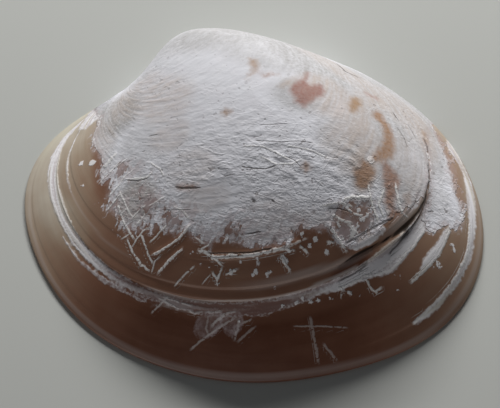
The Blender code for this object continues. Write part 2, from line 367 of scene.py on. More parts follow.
# places inside the chalk where the coat is still whole
STILL_BROWN = [
    [(16.4, -6.6), (17.8, -6.6), (19.5, -5.9), (19.6, -7.0), (20.1, -8.3), (20.6, -9.3),
     (19.3, -10.5), (17.9, -11.6), (16.7, -12.3), (15.2, -13.2), (14.4, -12.6), (13.6, -11.6),
     (13.1, -10.6), (13.2, -9.1), (13.6, -8.2), (14.5, -7.6), (15.7, -7.7)],
    [(-19.0, -2.4), (-17.4, -2.0), (-15.6, -2.8), (-15.8, -4.4), (-17.6, -5.0), (-19.4, -4.4)],
    [(-14.6, -6.6), (-13.0, -6.6), (-12.0, -7.8), (-13.0, -8.8), (-14.8, -8.4)],
    [(-23.4, 3.6), (-22.4, 4.3), (-21.9, 3.6), (-22.8, 2.8)],
    [(-4.8, -10.2), (-3.2, -9.6), (-2.4, -11.4), (-4.6, -11.9)],
]
# place and radius of the larger crumbs of chalk on the coat
CRUMBS = [
    (20.0, 0.7, 0.60),
    (-6.7, -18.3, 0.20), (-4.4, -16.8, 0.38), (-3.7, -16.7, 0.25), (-0.1, -17.1, 0.35),
    (-0.6, -17.5, 0.28), (1.8, -17.5, 0.36), (2.3, -17.2, 0.20), (0.3, -15.8, 0.30),
    (0.2, -15.3, 0.22), (7.8, -11.9, 0.30), (9.1, -13.5, 0.30), (10.1, -12.6, 0.38),
    (11.9, -14.5, 0.38), (4.7, -15.2, 0.42), (5.0, -15.9, 0.36), (3.7, -15.4, 0.25),
    (5.6, -14.3, 0.30), (33.9, -10.7, 0.30), (34.1, -11.4, 0.28), (33.5, -10.4, 0.20),
    (31.0, -14.1, 0.28), (31.8, -14.3, 0.25), (30.3, -15.0, 0.20), (15.7, -20.1, 0.32),
    (24.3, -17.2, 0.18), (18.6, -8.9, 0.28), (20.2, 1.1, 0.42), (7.7, -21.0, 0.30),
    (9.1, -21.4, 0.34), (4.3, -22.0, 0.26), (6.5, -21.7, 0.30), (10.3, -21.2, 0.26),
    (12.4, -21.0, 0.25), (-3.0, -23.7, 0.20), (-27.7, 7.2, 0.50), (-29.8, 7.8, 0.38),
    (-29.5, 3.3, 0.22), (16.5, -11.2, 0.50), (14.0, -10.4, 0.30), (17.5, -8.0, 0.30),
    (22.9, -3.2, 0.22), (23.3, -5.6, 0.20), (22.7, -8.0, 0.25), (3.0, -19.4, 0.18),
    (12.5, -13.0, 0.26), (14.6, -12.4, 0.24), (13.9, -10.2, 0.20), (16.3, -10.7, 0.30),
    (16.8, -11.3, 0.26), (16.2, -12.0, 0.22), (17.2, -10.4, 0.30), (18.0, -9.4, 0.36),
    (18.9, -8.5, 0.22), (22.3, -7.5, 0.24), (23.4, -7.6, 0.16), (22.5, -15.0, 0.26),
    (22.0, -15.4, 0.20), (23.1, -15.2, 0.16), (23.5, -17.1, 0.16),
    (23.9, -19.2, 0.18), (16.0, -19.9, 0.20), (14.7, -20.1, 0.22), (14.1, -19.5, 0.22),
    (17.4, -20.5, 0.16), (30.9, -13.9, 0.20), (31.2, -15.0, 0.20), (30.3, -14.8, 0.20),
    (-9.2, -15.0, 0.16), (-7.8, -15.8, 0.16), (-2.6, -15.4, 0.18), (-10.8, -13.2, 0.20),
]
# how far in mm a crumb reaches past its radius
CRUMB_REACH = 0.08
# centre, half length, half height, turn in degrees, and how wide in mm the edge is torn
TORN_PLACES = [
    ((-21.5, -3.0), 7.5, 10.0, 20, 2.6), ((-12.0, -8.5), 8.0, 4.5, -30, 2.3),
    ((2.0, -11.0), 13.0, 5.5, 0, 1.7), ((17.0, -9.0), 8.0, 6.0, 20, 1.3),
    ((31.5, -7.0), 5.0, 4.0, 0, 0.7), ((35.2, 4.0), 2.6, 9.0, 8, 1.5),
]
TORN_ELSEWHERE = 0.45
# the same for the thin smears of chalk on the coat, with their depth in mm
SMEARED_PLACES = [((-8.2, -23.8), 3.8, 2.6, 25, 0.1), ((-4.2, -24.0), 2.8, 2.4, 60, 0.0)]
NOT_SMEARED = -3.0


def to_stroke(x, y, start, end):
    """How far each point lies from the straight stroke, and how far along it (0 to 1)."""
    start, run = np.array(start), np.array(end) - np.array(start)
    along = np.clip(((x - start[0]) * run[0] + (y - start[1]) * run[1]) / (run @ run), 0, 1)
    return np.hypot(x - start[0] - along * run[0], y - start[1] - along * run[1]), along


def depth_inside(x, y, outline):
    """Distance to the closed outline in mm, positive inside it."""
    outline = np.array(outline)
    nearest = np.full(x.shape, np.inf)
    within = np.zeros(x.shape, bool)
    for start, end in zip(outline, np.roll(outline, -1, axis=0)):
        nearest = np.minimum(nearest, to_stroke(x, y, start, end)[0])
        if start[1] != end[1]:
            crosses = (y < start[1]) != (y < end[1])
            run = end - start
            within ^= crosses & (x < start[0] + (y - start[1]) * run[0] / run[1])
    return np.where(within, nearest, -nearest)


def soft_patch(x, y, centre, half_length, half_height, turned):
    """1 in the middle of the ellipse, fading to 0 at its edge."""
    turned = math.radians(turned)
    along = (x - centre[0]) * math.cos(turned) + (y - centre[1]) * math.sin(turned)
    across = (y - centre[1]) * math.cos(turned) - (x - centre[0]) * math.sin(turned)
    return 1 - smooth_share(np.hypot(along / half_length, across / half_height), 0.55, 1.15)


def patches(x, y, rows, elsewhere=0.0):
    """The highest of the soft patches, each at its own strength."""
    return np.max([
        elsewhere + (strength - elsewhere) * soft_patch(x, y, *place) for *place, strength in rows
    ], axis=0)


surface_x, surface_y = places[:, 0], places[:, 1]
chalk = np.maximum(
    depth_inside(surface_x, surface_y, CHALK), depth_inside(surface_x, surface_y, OUTER_CHALK))
veil = np.maximum(chalk, patches(surface_x, surface_y, SMEARED_PLACES, NOT_SMEARED))
for outline in STILL_BROWN:
    chalk = np.minimum(chalk, -depth_inside(surface_x, surface_y, outline))
crumb = CRUMB_REACH + np.max([
    radius - np.hypot(surface_x - x, surface_y - y) for x, y, radius in CRUMBS
], axis=0)
torn = patches(surface_x, surface_y, TORN_PLACES, TORN_ELSEWHERE)
print("share of the outside that is chalk:", round(float((chalk > 0).mean()), 2))

# %% [markdown]
# ## Stains left in the chalk
# Some of the coat is still there as brown and reddish stains. Each is an outline of its own, with
# how red it is and how strongly it covers the chalk. Round them the chalk has a soft warm tint.

# %% Outlines of the stains
# outline, redness, strength
STAINS = [
    ([(6.5, 13.1), (7.4, 14.4), (8.5, 15.0), (9.2, 15.8), (9.6, 17.1), (10.2, 17.2), (9.9, 15.9),
      (9.5, 14.9), (10.2, 14.1), (11.2, 14.5), (12.2, 14.5), (12.7, 13.4), (12.3, 12.0),
      (11.0, 11.2), (9.8, 10.2), (8.7, 9.4), (8.1, 9.9), (7.3, 10.5), (7.6, 11.3), (6.7, 12.3)],
     1.0, 0.9),
    ([(17.0, 12.3), (17.7, 13.3), (18.8, 13.4), (18.9, 12.0), (18.2, 10.1), (17.3, 9.6),
      (16.7, 10.3)], 0.0, 0.95),
    ([(20.8, 10.8), (21.9, 11.5), (22.7, 11.1), (22.7, 9.8), (23.6, 9.2), (24.0, 8.0),
      (24.3, 6.2), (24.3, 3.8), (23.8, 2.0), (22.4, 1.1), (20.8, 0.5), (19.8, 0.9), (20.9, 2.4),
      (22.0, 3.9), (22.5, 5.7), (22.4, 7.8), (21.7, 9.1), (20.9, 9.3)], 0.25, 0.95),
    ([(18.4, 0.8), (19.6, 0.1), (20.6, -0.9), (20.6, -2.0), (19.8, -2.8), (19.3, -4.2),
      (18.0, -4.5), (17.0, -4.0), (17.0, -2.8), (16.6, -2.1), (17.2, -1.3), (18.0, -0.6)],
     0.3, 0.95),
    ([(21.9, 0.5), (22.6, 1.1), (23.6, 0.0), (24.6, -1.1), (24.9, -2.3), (24.3, -3.7), (24.0, -5.5),
      (23.8, -6.9), (25.0, -7.6), (23.4, -8.7), (22.5, -9.1), (22.7, -7.8), (22.2, -6.9),
      (21.8, -5.8), (22.2, -4.1), (21.9, -2.5)], 0.6, 0.9),
    ([(32.8, 13.9), (33.8, 11.3), (34.7, 8.6), (35.7, 7.6), (36.6, 5.0), (36.7, 2.0), (36.6, -1.2),
      (36.4, -3.7), (35.7, -2.8), (35.3, -0.8), (34.7, 1.0), (34.4, 3.6), (34.2, 6.3), (33.7, 8.4),
      (32.8, 10.8)], 0.35, 0.6),
    ([(25.4, -4.4), (26.4, -3.8), (26.6, -5.5), (25.5, -6.6)], 0.3, 0.5),
    ([(0.0, 19.6), (1.1, 19.3), (1.5, 17.6), (1.1, 16.6), (0.1, 15.7), (-0.7, 15.1), (-0.2, 16.3),
      (0.6, 17.3), (-0.2, 18.5)], 0.1, 0.75),
    ([(1.0, 16.9), (2.4, 16.0), (3.4, 16.4), (4.7, 15.9), (3.4, 15.9), (2.3, 15.5)], 0.5, 0.75),
    ([(-5.2, 9.2), (-4.4, 9.8), (-3.4, 9.3), (-4.2, 8.7)], 0.2, 0.95),
    ([(8.0, -1.3), (8.8, -0.5), (9.7, -1.3), (8.8, -2.1)], 0.3, 1.0),
    ([(4.7, 13.5), (5.9, 14.8), (7.3, 15.3), (6.9, 14.0), (5.5, 13.1)], 0.0, 0.4),
    ([(20.1, 15.5), (20.9, 15.3), (22.2, 15.0), (21.9, 14.6), (20.5, 14.9)], 0.9, 0.8),
    ([(-12.8, -1.9), (-11.3, -2.1), (-9.6, -2.4), (-9.7, -3.1), (-11.4, -3.0), (-12.8, -2.6)],
     0.6, 0.8),
    ([(30.1, 11.4), (30.6, 10.6), (30.7, 8.4), (30.3, 8.6), (30.1, 10.0)], 0.0, 0.7),
]
# centre, half length, half height, turn in degrees, strength
WARM_PLACES = [
    ((-15.0, 14.5), 5.5, 6.0, 60, 0.75), ((-14.0, 7.0), 4.0, 3.5, 20, 0.55),
    ((14.0, 11.5), 8.0, 4.5, -20, 0.75), ((17.0, 3.0), 6.0, 6.0, -40, 0.6),
    ((-10.5, 0.5), 5.0, 4.0, 0, 0.45), ((27.0, 2.0), 4.0, 7.0, 10, 0.45),
    ((2.5, -8.0), 5.0, 3.0, 0, 0.35), ((4.0, -10.5), 12.0, 2.5, 5, 0.45),
    ((-8.5, -5.0), 5.0, 2.4, 5, 0.55), ((-26.0, 12.0), 3.0, 5.0, 0, 0.5),
    ((18.0, 19.5), 13.0, 3.2, -36, 0.5), ((29.0, 11.0), 3.5, 8.0, 18, 0.7),
    ((-20.0, 18.0), 6.0, 5.0, 40, 0.6), ((11.5, 14.0), 5.0, 3.5, 0, 0.8),
    ((-20.0, -3.0), 4.0, 4.0, 0, 0.5), ((26.0, 14.5), 8.0, 4.5, -42, 0.5),
    ((21.0, 14.0), 4.0, 3.0, 0, 0.7), ((18.5, 3.0), 3.4, 9.0, 0, 0.8),
]
# the same where the chalk is greyer
DULL_PLACES = [
    ((13.5, 19.0), 19.0, 7.0, -38, 1.0), ((22.5, 8.5), 8.5, 8.0, 0, 0.9),
    ((30.0, 8.0), 4.0, 9.0, 15, 0.85), ((25.0, 17.5), 15.0, 6.0, -40, 1.0),
    ((25.5, -1.0), 6.0, 6.5, 0, 0.75), ((17.5, 0.0), 4.0, 5.0, 0, 0.4),
    ((-24.0, 16.0), 5.5, 6.0, 0, 1.0), ((-26.0, 9.0), 3.0, 6.0, 0, 0.5),
    ((-4.0, 27.5), 13.0, 5.5, 0, 0.9), ((4.0, 21.0), 12.0, 5.0, -20, 0.7),
    ((9.5, 12.0), 7.0, 4.5, -10, 0.8), ((16.0, 5.0), 6.0, 6.0, 0, 0.6),
    ((31.5, -3.0), 3.0, 4.5, 0, 0.45), ((-20.0, -2.5), 4.0, 4.5, 0, 0.85),
    ((18.5, 3.0), 3.2, 10.0, 0, 0.85), ((-19.8, 7.0), 4.0, 5.0, 0, 0.3),
]
stain_depths = np.stack([depth_inside(surface_x, surface_y, outline) for outline, _, _ in STAINS])
stain = stain_depths.max(axis=0)
nearest_stain = stain_depths.argmax(axis=0)
stain_red = np.array([red for _, red, _ in STAINS])[nearest_stain]
stain_strength = np.array([strength for _, _, strength in STAINS])[nearest_stain]
warm = patches(surface_x, surface_y, WARM_PLACES)
dull = patches(surface_x, surface_y, DULL_PLACES)
stain_share = round(float((stain > 0).mean()), 3)
print("stains:", len(STAINS), "share of the outside that they cover:", stain_share)

# %% [markdown]
# ## Bands that follow the growth lines
# A pale film fills the foot of the main ledge, and thin pale lines run along other growth lines.
# Such a band is easy to place on the growth form: it is a range of turns with an inner and an outer
# size at each turn. Its depth is measured in millimetres too, so that it can be frayed like the
# chalk.

# %% Pale films and lines
# turn in degrees, inner and outer size
FILMS = [
    [(150, 0.82, 0.85), (156, 0.82, 0.875), (161, 0.818, 0.898), (164, 0.827, 0.894),
     (168, 0.834, 0.897), (172, 0.826, 0.890), (177, 0.828, 0.884), (184, 0.824, 0.876),
     (191, 0.825, 0.872), (198, 0.832, 0.868), (207, 0.838, 0.866), (212, 0.838, 0.863),
     (225, 0.838, 0.860), (235, 0.840, 0.862), (245, 0.842, 0.866), (254, 0.840, 0.868),
     (262, 0.838, 0.868), (275, 0.837, 0.866), (288, 0.835, 0.856), (294, 0.834, 0.850),
     (301, 0.832, 0.852), (308, 0.836, 0.858), (312, 0.840, 0.862)],
    [(197, 0.882, 0.883), (207, 0.879, 0.887), (216, 0.870, 0.880), (224, 0.866, 0.876),
     (231, 0.866, 0.874), (238, 0.868, 0.872)],
    [(158, 0.700, 0.714), (169, 0.742, 0.752), (176, 0.765, 0.775), (184, 0.776, 0.784),
     (190, 0.781, 0.781)],
]
FILM_OUTLINES = [
    [(28.9, -8.3), (29.2, -9.3), (28.1, -10.5), (26.9, -12.4), (25.5, -14.0),
     (24.2, -15.5), (23.2, -16.5), (21.1, -17.3), (18.8, -17.6), (16.8, -18.6), (14.2, -19.7),
     (10.6, -20.3), (10.4, -19.9), (13.7, -18.9), (16.2, -17.1), (17.8, -16.1), (19.2, -15.2),
     (20.4, -14.2), (21.6, -13.3), (23.4, -12.0), (25.3, -10.4), (27.0, -8.5),
     (28.7, -6.2), (29.8, -3.4), (30.4, -5.6), (29.4, -7.2)],
    [(33.6, -7.0), (32.6, -8.2), (31.0, -10.8), (29.8, -12.2), (28.4, -14.0), (27.9, -15.7),
     (26.1, -17.7), (26.4, -17.9), (28.0, -16.3), (29.3, -15.2), (30.2, -14.2), (31.5, -12.7),
     (32.5, -10.5), (33.6, -8.1)],
    [(34.5, 12.2), (34.6, 8.8), (35.9, 7.5), (37.0, 5.3), (37.1, 2.7), (37.1, -1.0), (37.1, -4.2),
     (37.2, -6.3), (36.7, -9.2), (36.1, -11.7), (35.4, -13.3), (34.1, -15.5), (32.8, -17.3),
     (31.3, -19.1), (30.0, -20.5), (28.3, -21.9), (26.5, -23.5), (27.2, -23.5), (29.0, -22.3),
     (30.8, -21.0), (32.2, -19.3), (33.5, -17.8), (35.0, -15.9), (36.4, -13.3), (37.4, -11.2),
     (38.0, -8.6), (38.5, -5.6), (38.7, -3.4), (38.8, 0.7), (38.4, 3.5), (37.6, 6.2),
     (36.8, 8.6), (35.6, 11.4)],
    [(-23.3, 23.2), (-25.8, 21.6), (-27.6, 20.5), (-28.7, 19.4), (-29.8, 17.1), (-30.3, 15.6),
     (-29.4, 15.4), (-27.9, 16.4), (-26.7, 17.3), (-25.4, 19.2), (-24.0, 21.4)],
]
RIDGE = [
    (15.0, -13.5), (15.8, -13.9), (17.1, -14.0), (18.4, -13.4), (19.8, -12.6), (21.0, -11.7),
    (21.8, -10.8), (22.0, -9.8), (21.1, -10.1), (19.3, -11.0), (17.6, -12.1), (15.9, -13.1),
]
# how white the film is, by turn in degrees
FILM_WHITE = np.array([
    (0, 1.0), (40, 0.9), (147, 1.0), (196, 1.0), (208, 0.82), (220, 0.50), (234, 0.26), (250, 0.18),
    (282, 0.20), (292, 0.50), (300, 0.84), (310, 0.97), (330, 1.0), (360, 1.0),
])
# the first line, along the rounded margin, is a painted highlight, and so is the third, on the edge
# of the main ledge; the others are pale bands of the shell
# turn in degrees, inner and outer size, strength
PALE_LINES = [
    [(172, 0.970, 0.982, 0.0), (180, 0.972, 0.984, 0.3), (188, 0.976, 0.988, 0.35),
     (200, 0.980, 0.993, 0.4), (240, 0.984, 0.996, 0.35), (280, 0.982, 0.995, 0.3),
     (318, 0.986, 0.996, 0.4), (335, 0.982, 0.992, 0.4), (350, 0.984, 0.994, 0.4),
     (372, 0.984, 0.994, 0.0)],
    [(184, 0.779, 0.785, 0.5), (200, 0.778, 0.786, 0.3), (215, 0.784, 0.790, 0.25),
     (235, 0.786, 0.792, 0.0)],
    [(230, 0.835, 0.841, 0.0), (236, 0.835, 0.841, 0.8), (250, 0.837, 0.843, 0.8),
     (263, 0.832, 0.837, 0.9), (280, 0.832, 0.838, 0.9), (290, 0.831, 0.837, 0.9),
     (297, 0.826, 0.832, 0.9), (305, 0.826, 0.832, 1.0), (310, 0.831, 0.837, 0.7),
     (314, 0.834, 0.840, 0.0)],
    [(236, 0.872, 0.878, 0.2), (240, 0.864, 0.870, 0.4), (250, 0.861, 0.867, 0.45),
     (259, 0.855, 0.861, 0.4), (270, 0.848, 0.853, 0.3), (282, 0.850, 0.855, 0.3),
     (296, 0.852, 0.858, 0.0)],
    [(262, 0.800, 0.816, 0.0), (275, 0.800, 0.818, 0.30), (290, 0.796, 0.814, 0.50),
     (304, 0.804, 0.820, 0.55), (314, 0.814, 0.824, 0.2)],
    [(318, 0.808, 0.818, 0.0), (324, 0.804, 0.820, 0.6), (330, 0.800, 0.822, 0.8),
     (340, 0.806, 0.826, 0.8), (352, 0.822, 0.840, 0.4), (360, 0.842, 0.852, 0.0)],
]


# two growth lines this close give the mm in one step of size
NEARBY = 0.001


def band_rows(rows, turn):
    """The rows of one band at each turn: degrees, then its columns."""
    table = np.array(rows)
    degrees = table[0, 0] + np.remainder(np.degrees(turn) - table[0, 0], 360)
    columns = [np.interp(degrees, table[:, 0], column) for column in table.T[1:]]
    return degrees <= table[-1, 0], columns


def band_cover(rows, turn, size):
    """How strongly the bands cover each point, from 0 to 1."""
    cover = np.zeros_like(size)
    for band in rows:
        reached, (inner, outer, strength) = band_rows(band, turn)
        away = np.abs(size - (inner + outer) / 2) / np.maximum((outer - inner) / 2, 1e-4)
        cover = np.maximum(cover, strength * (1 - smooth_share(away, 0.6, 1.3)) * reached)
    return cover


def band_depth(rows, turn, size, mm_per_size):
    """How far inside a band each point lies in mm."""
    depth = np.full(size.shape, -4.0)
    for band in rows:
        reached, (inner, outer) = band_rows(band, turn)
        inside = (outer - inner) / 2 - np.abs(size - (inner + outer) / 2)
        depth = np.maximum(depth, np.where(reached, inside * mm_per_size, -4.0))
    return depth


apart = grown(turns, sizes * (1 + NEARBY)) - grown(turns, sizes * (1 - NEARBY))
mm_per_size = np.linalg.norm(apart, axis=1) / (2 * NEARBY * sizes)
film = band_depth(FILMS, turns, sizes, mm_per_size)
for outline in FILM_OUTLINES:
    film = np.maximum(film, depth_inside(surface_x, surface_y, outline))
ridge = depth_inside(surface_x, surface_y, RIDGE)
film = np.maximum(film, ridge)
film_white = np.interp(np.degrees(turns) % 360, FILM_WHITE[:, 0], FILM_WHITE[:, 1])
pale_line = band_cover(PALE_LINES, turns, sizes)
print("share under a pale film:", round(float((film > 0).mean()), 2))

# %% [markdown]
# ## Scratches
# Many fine white scratches cross the edge of the chalk. They are thinner than the mesh, so they
# can't be stored as a distance from their middle line: that is lost between two vertices. What
# survives is the side: each vertex keeps how far it lies to the left (+) or right (-) of its
# scratch, and the finish draws the line where that number passes 0. Scratches that lie close
# together go into different layers, so that they don't disturb each other.

# %% Where the scratches run
# half width in mm, strength, then the places that the scratch passes
SCRATCHES = [
    (0.11, 0.9, [(-25.0, -2.8), (-22.8, -0.7)]),
    (0.13, 1.0, [(-22.8, -0.6), (-21.3, -4.7)]),
    (0.14, 1.0, [(-23.2, -2.8), (-22.2, -6.2), (-20.7, -8.9)]),
    (0.11, 0.9, [(-22.5, -8.5), (-21.4, -8.1)]),
    (0.16, 1.0, [(-21.6, -9.1), (-21.1, -10.7), (-19.5, -13.5), (-18.3, -14.5)]),
    (0.12, 0.9, [(-20.8, -10.1), (-20.0, -9.1), (-19.0, -8.2), (-17.8, -7.8)]),
    (0.15, 1.0, [(-19.2, -8.9), (-18.2, -12.1), (-17.6, -13.4)]),
    (0.13, 0.9, [(-17.6, -10.1), (-15.2, -8.3)]),
    (0.17, 1.0, [(-17.2, -12.3), (-14.9, -11.6), (-12.7, -10.5), (-11.1, -9.0)]),
    (0.19, 1.0, [(-16.4, -15.2), (-14.1, -13.3), (-12.6, -12.4)]),
    (0.12, 0.8, [(-17.6, -14.8), (-17.1, -13.4), (-16.4, -12.9)]),
    (0.14, 0.8, [(-13.6, -17.5), (-12.0, -16.2), (-10.6, -15.4)]),
    (0.10, 0.7, [(-8.9, -17.8), (-8.0, -17.0)]),
    (0.16, 1.0, [(-7.3, -16.7), (-6.6, -17.7), (-5.8, -16.2)]),
    (0.12, 0.7, [(-24.6, -0.3), (-23.2, 0.8), (-22.1, 2.1), (-20.8, 2.8)]),
    (0.12, 0.9, [(-9.4, -12.9), (-8.0, -12.5), (-7.5, -11.8)]),
    (0.27, 1.0, [(-9.5, -13.0), (-8.2, -13.6), (-7.2, -14.3), (-5.8, -14.6), (-4.4, -14.4),
                 (-2.2, -14.6), (-0.5, -14.6), (1.4, -14.4), (3.0, -14.1), (4.6, -13.8)]),
    (0.18, 0.6, [(4.8, -13.8), (6.9, -13.1), (8.4, -12.5)]),
    (0.15, 1.0, [(-7.2, -14.3), (-6.3, -15.1), (-5.8, -15.6)]),
    (0.18, 0.9, [(12.2, -12.9), (13.0, -13.0)]),
    (0.24, 0.7, [(-25.5, 5.6), (-23.6, 7.2)]),
    (0.12, 0.8, [(-21.5, 1.5), (-19.5, 0.9), (-18.0, 0.9), (-17.4, 1.3)]),
    (0.20, 0.8, [(28.7, -9.2), (28.1, -10.3), (26.8, -12.2), (25.0, -14.0), (23.8, -15.4),
                 (22.9, -16.3), (20.9, -17.0), (18.6, -17.3), (16.6, -18.4), (14.0, -19.4)]),
    (0.17, 0.8, [(33.4, -8.4), (32.4, -10.6), (31.4, -12.7), (30.1, -14.2), (28.0, -16.3),
                 (26.3, -17.8)]),
    (0.17, 0.7, [(37.3, -5.6), (36.9, -9.2), (36.2, -11.7), (34.3, -15.5), (31.5, -19.1),
                 (28.5, -21.9), (26.6, -23.5)]),
    (0.12, 0.5, [(20.9, -5.3), (21.0, -7.0), (21.8, -8.4)]),
    (0.15, 0.7, [(24.3, -5.9), (25.0, -7.5), (25.8, -7.9)]),
    (0.18, 0.9, [(-4.9, -17.0), (-3.4, -16.5)]),
    (0.20, 0.9, [(4.2, -15.2), (5.6, -17.1)]),
    (0.20, 1.0, [(7.6, -13.7), (8.7, -14.6)]),
    (0.18, 0.9, [(4.9, -14.0), (6.3, -14.2)]),
    (0.20, 1.0, [(12.6, -10.8), (13.7, -12.3), (15.1, -14.0)]),
    (0.20, 1.0, [(13.3, -9.0), (14.5, -9.6), (16.0, -10.0)]),
    (0.17, 1.0, [(15.6, -7.8), (16.5, -8.6), (18.0, -8.7)]),
    (0.20, 0.8, [(15.8, -10.4), (16.8, -11.3), (15.9, -12.4)]),
    (0.18, 0.8, [(18.7, -17.9), (19.1, -19.1), (20.1, -19.7), (21.0, -19.1)]),
    (0.16, 0.6, [(14.5, -19.1), (14.2, -20.7)]),
    (0.11, 0.7, [(-26.4, 2.6), (-25.1, 3.6), (-24.2, 4.3), (-23.1, 5.2)]),
    (0.10, 0.6, [(-23.3, 4.7), (-21.5, 5.5)]),
    (0.12, 0.9, [(-22.8, -0.7), (-22.0, -2.8), (-21.5, -4.2), (-20.8, -5.2)]),
    (0.11, 0.8, [(-22.5, -4.2), (-21.7, -3.6)]),
    (0.13, 0.9, [(-20.8, -5.5), (-19.4, -4.4), (-18.7, -4.1)]),
    (0.13, 0.8, [(-20.2, -7.0), (-18.7, -5.7)]),
    (0.12, 0.7, [(-17.2, 3.0), (-15.8, 1.5), (-15.3, 0.4)]),
    (0.13, 0.8, [(-20.2, 1.3), (-18.9, 0.7), (-17.7, 1.0)]),
    (0.12, 0.7, [(-17.7, -4.2), (-16.4, -3.8), (-15.4, -3.5)]),
    (0.13, 0.7, [(-13.4, -5.5), (-12.2, -6.3), (-11.2, -7.6)]),
    (0.12, 0.7, [(-10.0, -11.0), (-8.7, -12.0)]),
    (0.13, 0.6, [(-1.3, 2.8), (1.6, 2.5), (3.7, 1.4), (6.2, -0.1)]),
    (0.13, 0.6, [(1.5, 0.7), (3.7, -0.6), (6.5, -0.7), (7.9, -0.1)]),
    (0.12, 0.6, [(6.3, 2.3), (9.6, 1.6), (12.6, 0.3)]),
    (0.18, 0.9, [(11.3, -7.5), (12.8, -7.2), (14.5, -7.0), (16.2, -7.4)]),
    (0.22, 1.0, [(15.2, -6.3), (16.6, -5.9), (19.3, -5.7)]),
    (0.18, 1.0, [(19.4, -3.9), (19.8, -6.7), (20.8, -9.3)]),
    (0.16, 0.9, [(22.0, -4.2), (21.0, -6.7), (21.7, -8.3)]),
    (0.18, 0.9, [(24.1, -3.0), (24.4, -5.4), (25.0, -7.4)]),
    (0.14, 0.5, [(-17.7, -20.9), (-15.0, -19.0)]),
    (0.12, 0.5, [(-16.4, -19.1), (-13.4, -20.9)]),
    (0.12, 0.5, [(-15.5, -19.1), (-11.3, -20.8)]),
    (0.16, 0.35, [(-11.2, -27.0), (-8.1, -25.3), (-6.0, -24.3), (-4.1, -23.4)]),
    (0.22, 0.50, [(-7.6, -24.1), (-6.8, -23.4), (-5.6, -22.8)]),
    (0.16, 0.45, [(-5.6, -22.7), (-4.8, -22.5), (-3.9, -22.5)]),
    (0.20, 0.45, [(-8.5, -22.2), (-7.5, -22.2), (-6.3, -22.1)]),
    (0.20, 0.30, [(-3.1, -23.8), (-3.4, -25.1), (-3.9, -26.2)]),
    (0.14, 0.35, [(-2.3, -24.1), (-1.6, -24.0), (-1.2, -23.8)]),
    (0.16, 0.40, [(-11.4, -21.7), (-10.5, -22.0), (-9.5, -22.0)]),
    (0.16, 0.25, [(-8.4, -25.4), (-8.7, -24.4), (-8.4, -23.0)]),
    (0.16, 0.25, [(-3.3, -26.6), (-0.6, -24.9)]),
    (0.10, 0.28, [(6.4, -24.9), (10.0, -24.9), (14.8, -25.0)]),
    (0.22, 0.26, [(8.9, -23.8), (10.1, -29.6)]),
    (0.18, 0.24, [(11.2, -27.5), (13.1, -29.3)]),
]
# the same for the dark grooves
GROOVES = [
    (0.11, 0.9, [(-1.7, -0.7), (0.1, -1.1), (2.1, -1.4), (3.5, -1.0)]),
    (0.09, 0.6, [(0.8, 3.5), (4.6, 3.0), (8.0, 3.1), (9.8, 2.8)]),
    (0.12, 1.0, [(-7.8, -13.6), (-4.3, -14.0), (-0.5, -14.2), (2.4, -13.8)]),
    (0.11, 1.0, [(-1.4, -11.4), (0.8, -11.2)]),
    (0.16, 0.9, [(-13.1, -2.3), (-11.3, -2.8), (-9.2, -3.1)]),
    (0.11, 0.8, [(-21.4, 1.3), (-19.8, 0.6), (-18.1, 0.6)]),
    (0.09, 0.6, [(-15.1, -5.6), (-13.2, -6.0), (-10.9, -6.4)]),
    (0.10, 0.7, [(-4.8, -1.9), (-3.6, -1.8)]),
    (0.08, 0.5, [(1.5, 6.2), (5.7, 6.2)]),
    (0.17, 0.8, [(15.2, -13.1), (17.6, -12.0), (19.3, -10.9), (21.1, -9.8), (23.2, -8.7)]),
    (0.14, 0.8, [(22.7, -13.6), (23.8, -12.4), (25.1, -10.9), (25.9, -9.8)]),
    (0.13, 0.8, [(14.1, -18.2), (16.6, -17.1), (18.5, -15.8)]),
    (0.14, 0.7, [(15.5, 23.5), (16.8, 20.7), (18.8, 20.4)]),
    (0.09, 0.8, [(24.8, 12.3), (25.4, 11.1)]),
    (0.09, 0.5, [(25.2, 8.8), (26.2, 7.0), (26.6, 5.4)]),
    (0.09, 0.5, [(27.4, 10.5), (28.3, 8.2)]),
    (0.14, 0.6, [(30.1, 9.3), (30.5, 8.1), (30.6, 6.5)]),
    (0.12, 0.8, [(12.7, -7.9), (14.7, -7.9), (16.0, -8.3)]),
    (0.09, 0.6, [(7.8, -1.1), (6.9, -0.1), (5.5, 0.5)]),
    (0.12, 0.6, [(30.2, 2.8), (30.2, 0.2), (29.8, -2.2)]),
    (0.24, 1.0, [(-0.2, -6.2), (0.0, -6.4)]),
    (0.14, 0.9, [(3.0, -6.4), (3.2, -6.6)]),
    (0.09, 0.6, [(-17.4, 8.1), (-16.4, 8.0)]),
]
CRACK = [
    (14.0, -16.4), (16.7, -14.8), (18.6, -13.8), (20.1, -13.1), (21.7, -12.2), (23.3, -11.3),
    (24.5, -10.4), (25.4, -9.7), (26.7, -8.3), (28.2, -6.3), (29.4, -4.0), (29.9, -1.5),
]
CRACK_HALF_WIDTH = [0.02, 0.16, 0.18, 0.18, 0.20, 0.24, 0.40, 0.50, 0.34, 0.24, 0.16, 0.02]
LAYER_GAP, SEEN_TO, END_FADE = 1.5, (0.45, 0.70), 0.4


def crack_depth(x, y):
    """How far inside the crack each point lies in mm."""
    depth = np.full(x.shape, -4.0)
    for k in range(len(CRACK) - 1):
        away, along = to_stroke(x, y, CRACK[k], CRACK[k + 1])
        half = CRACK_HALF_WIDTH[k] + along * (CRACK_HALF_WIDTH[k + 1] - CRACK_HALF_WIDTH[k])
        depth = np.maximum(depth, half - away)
    return depth


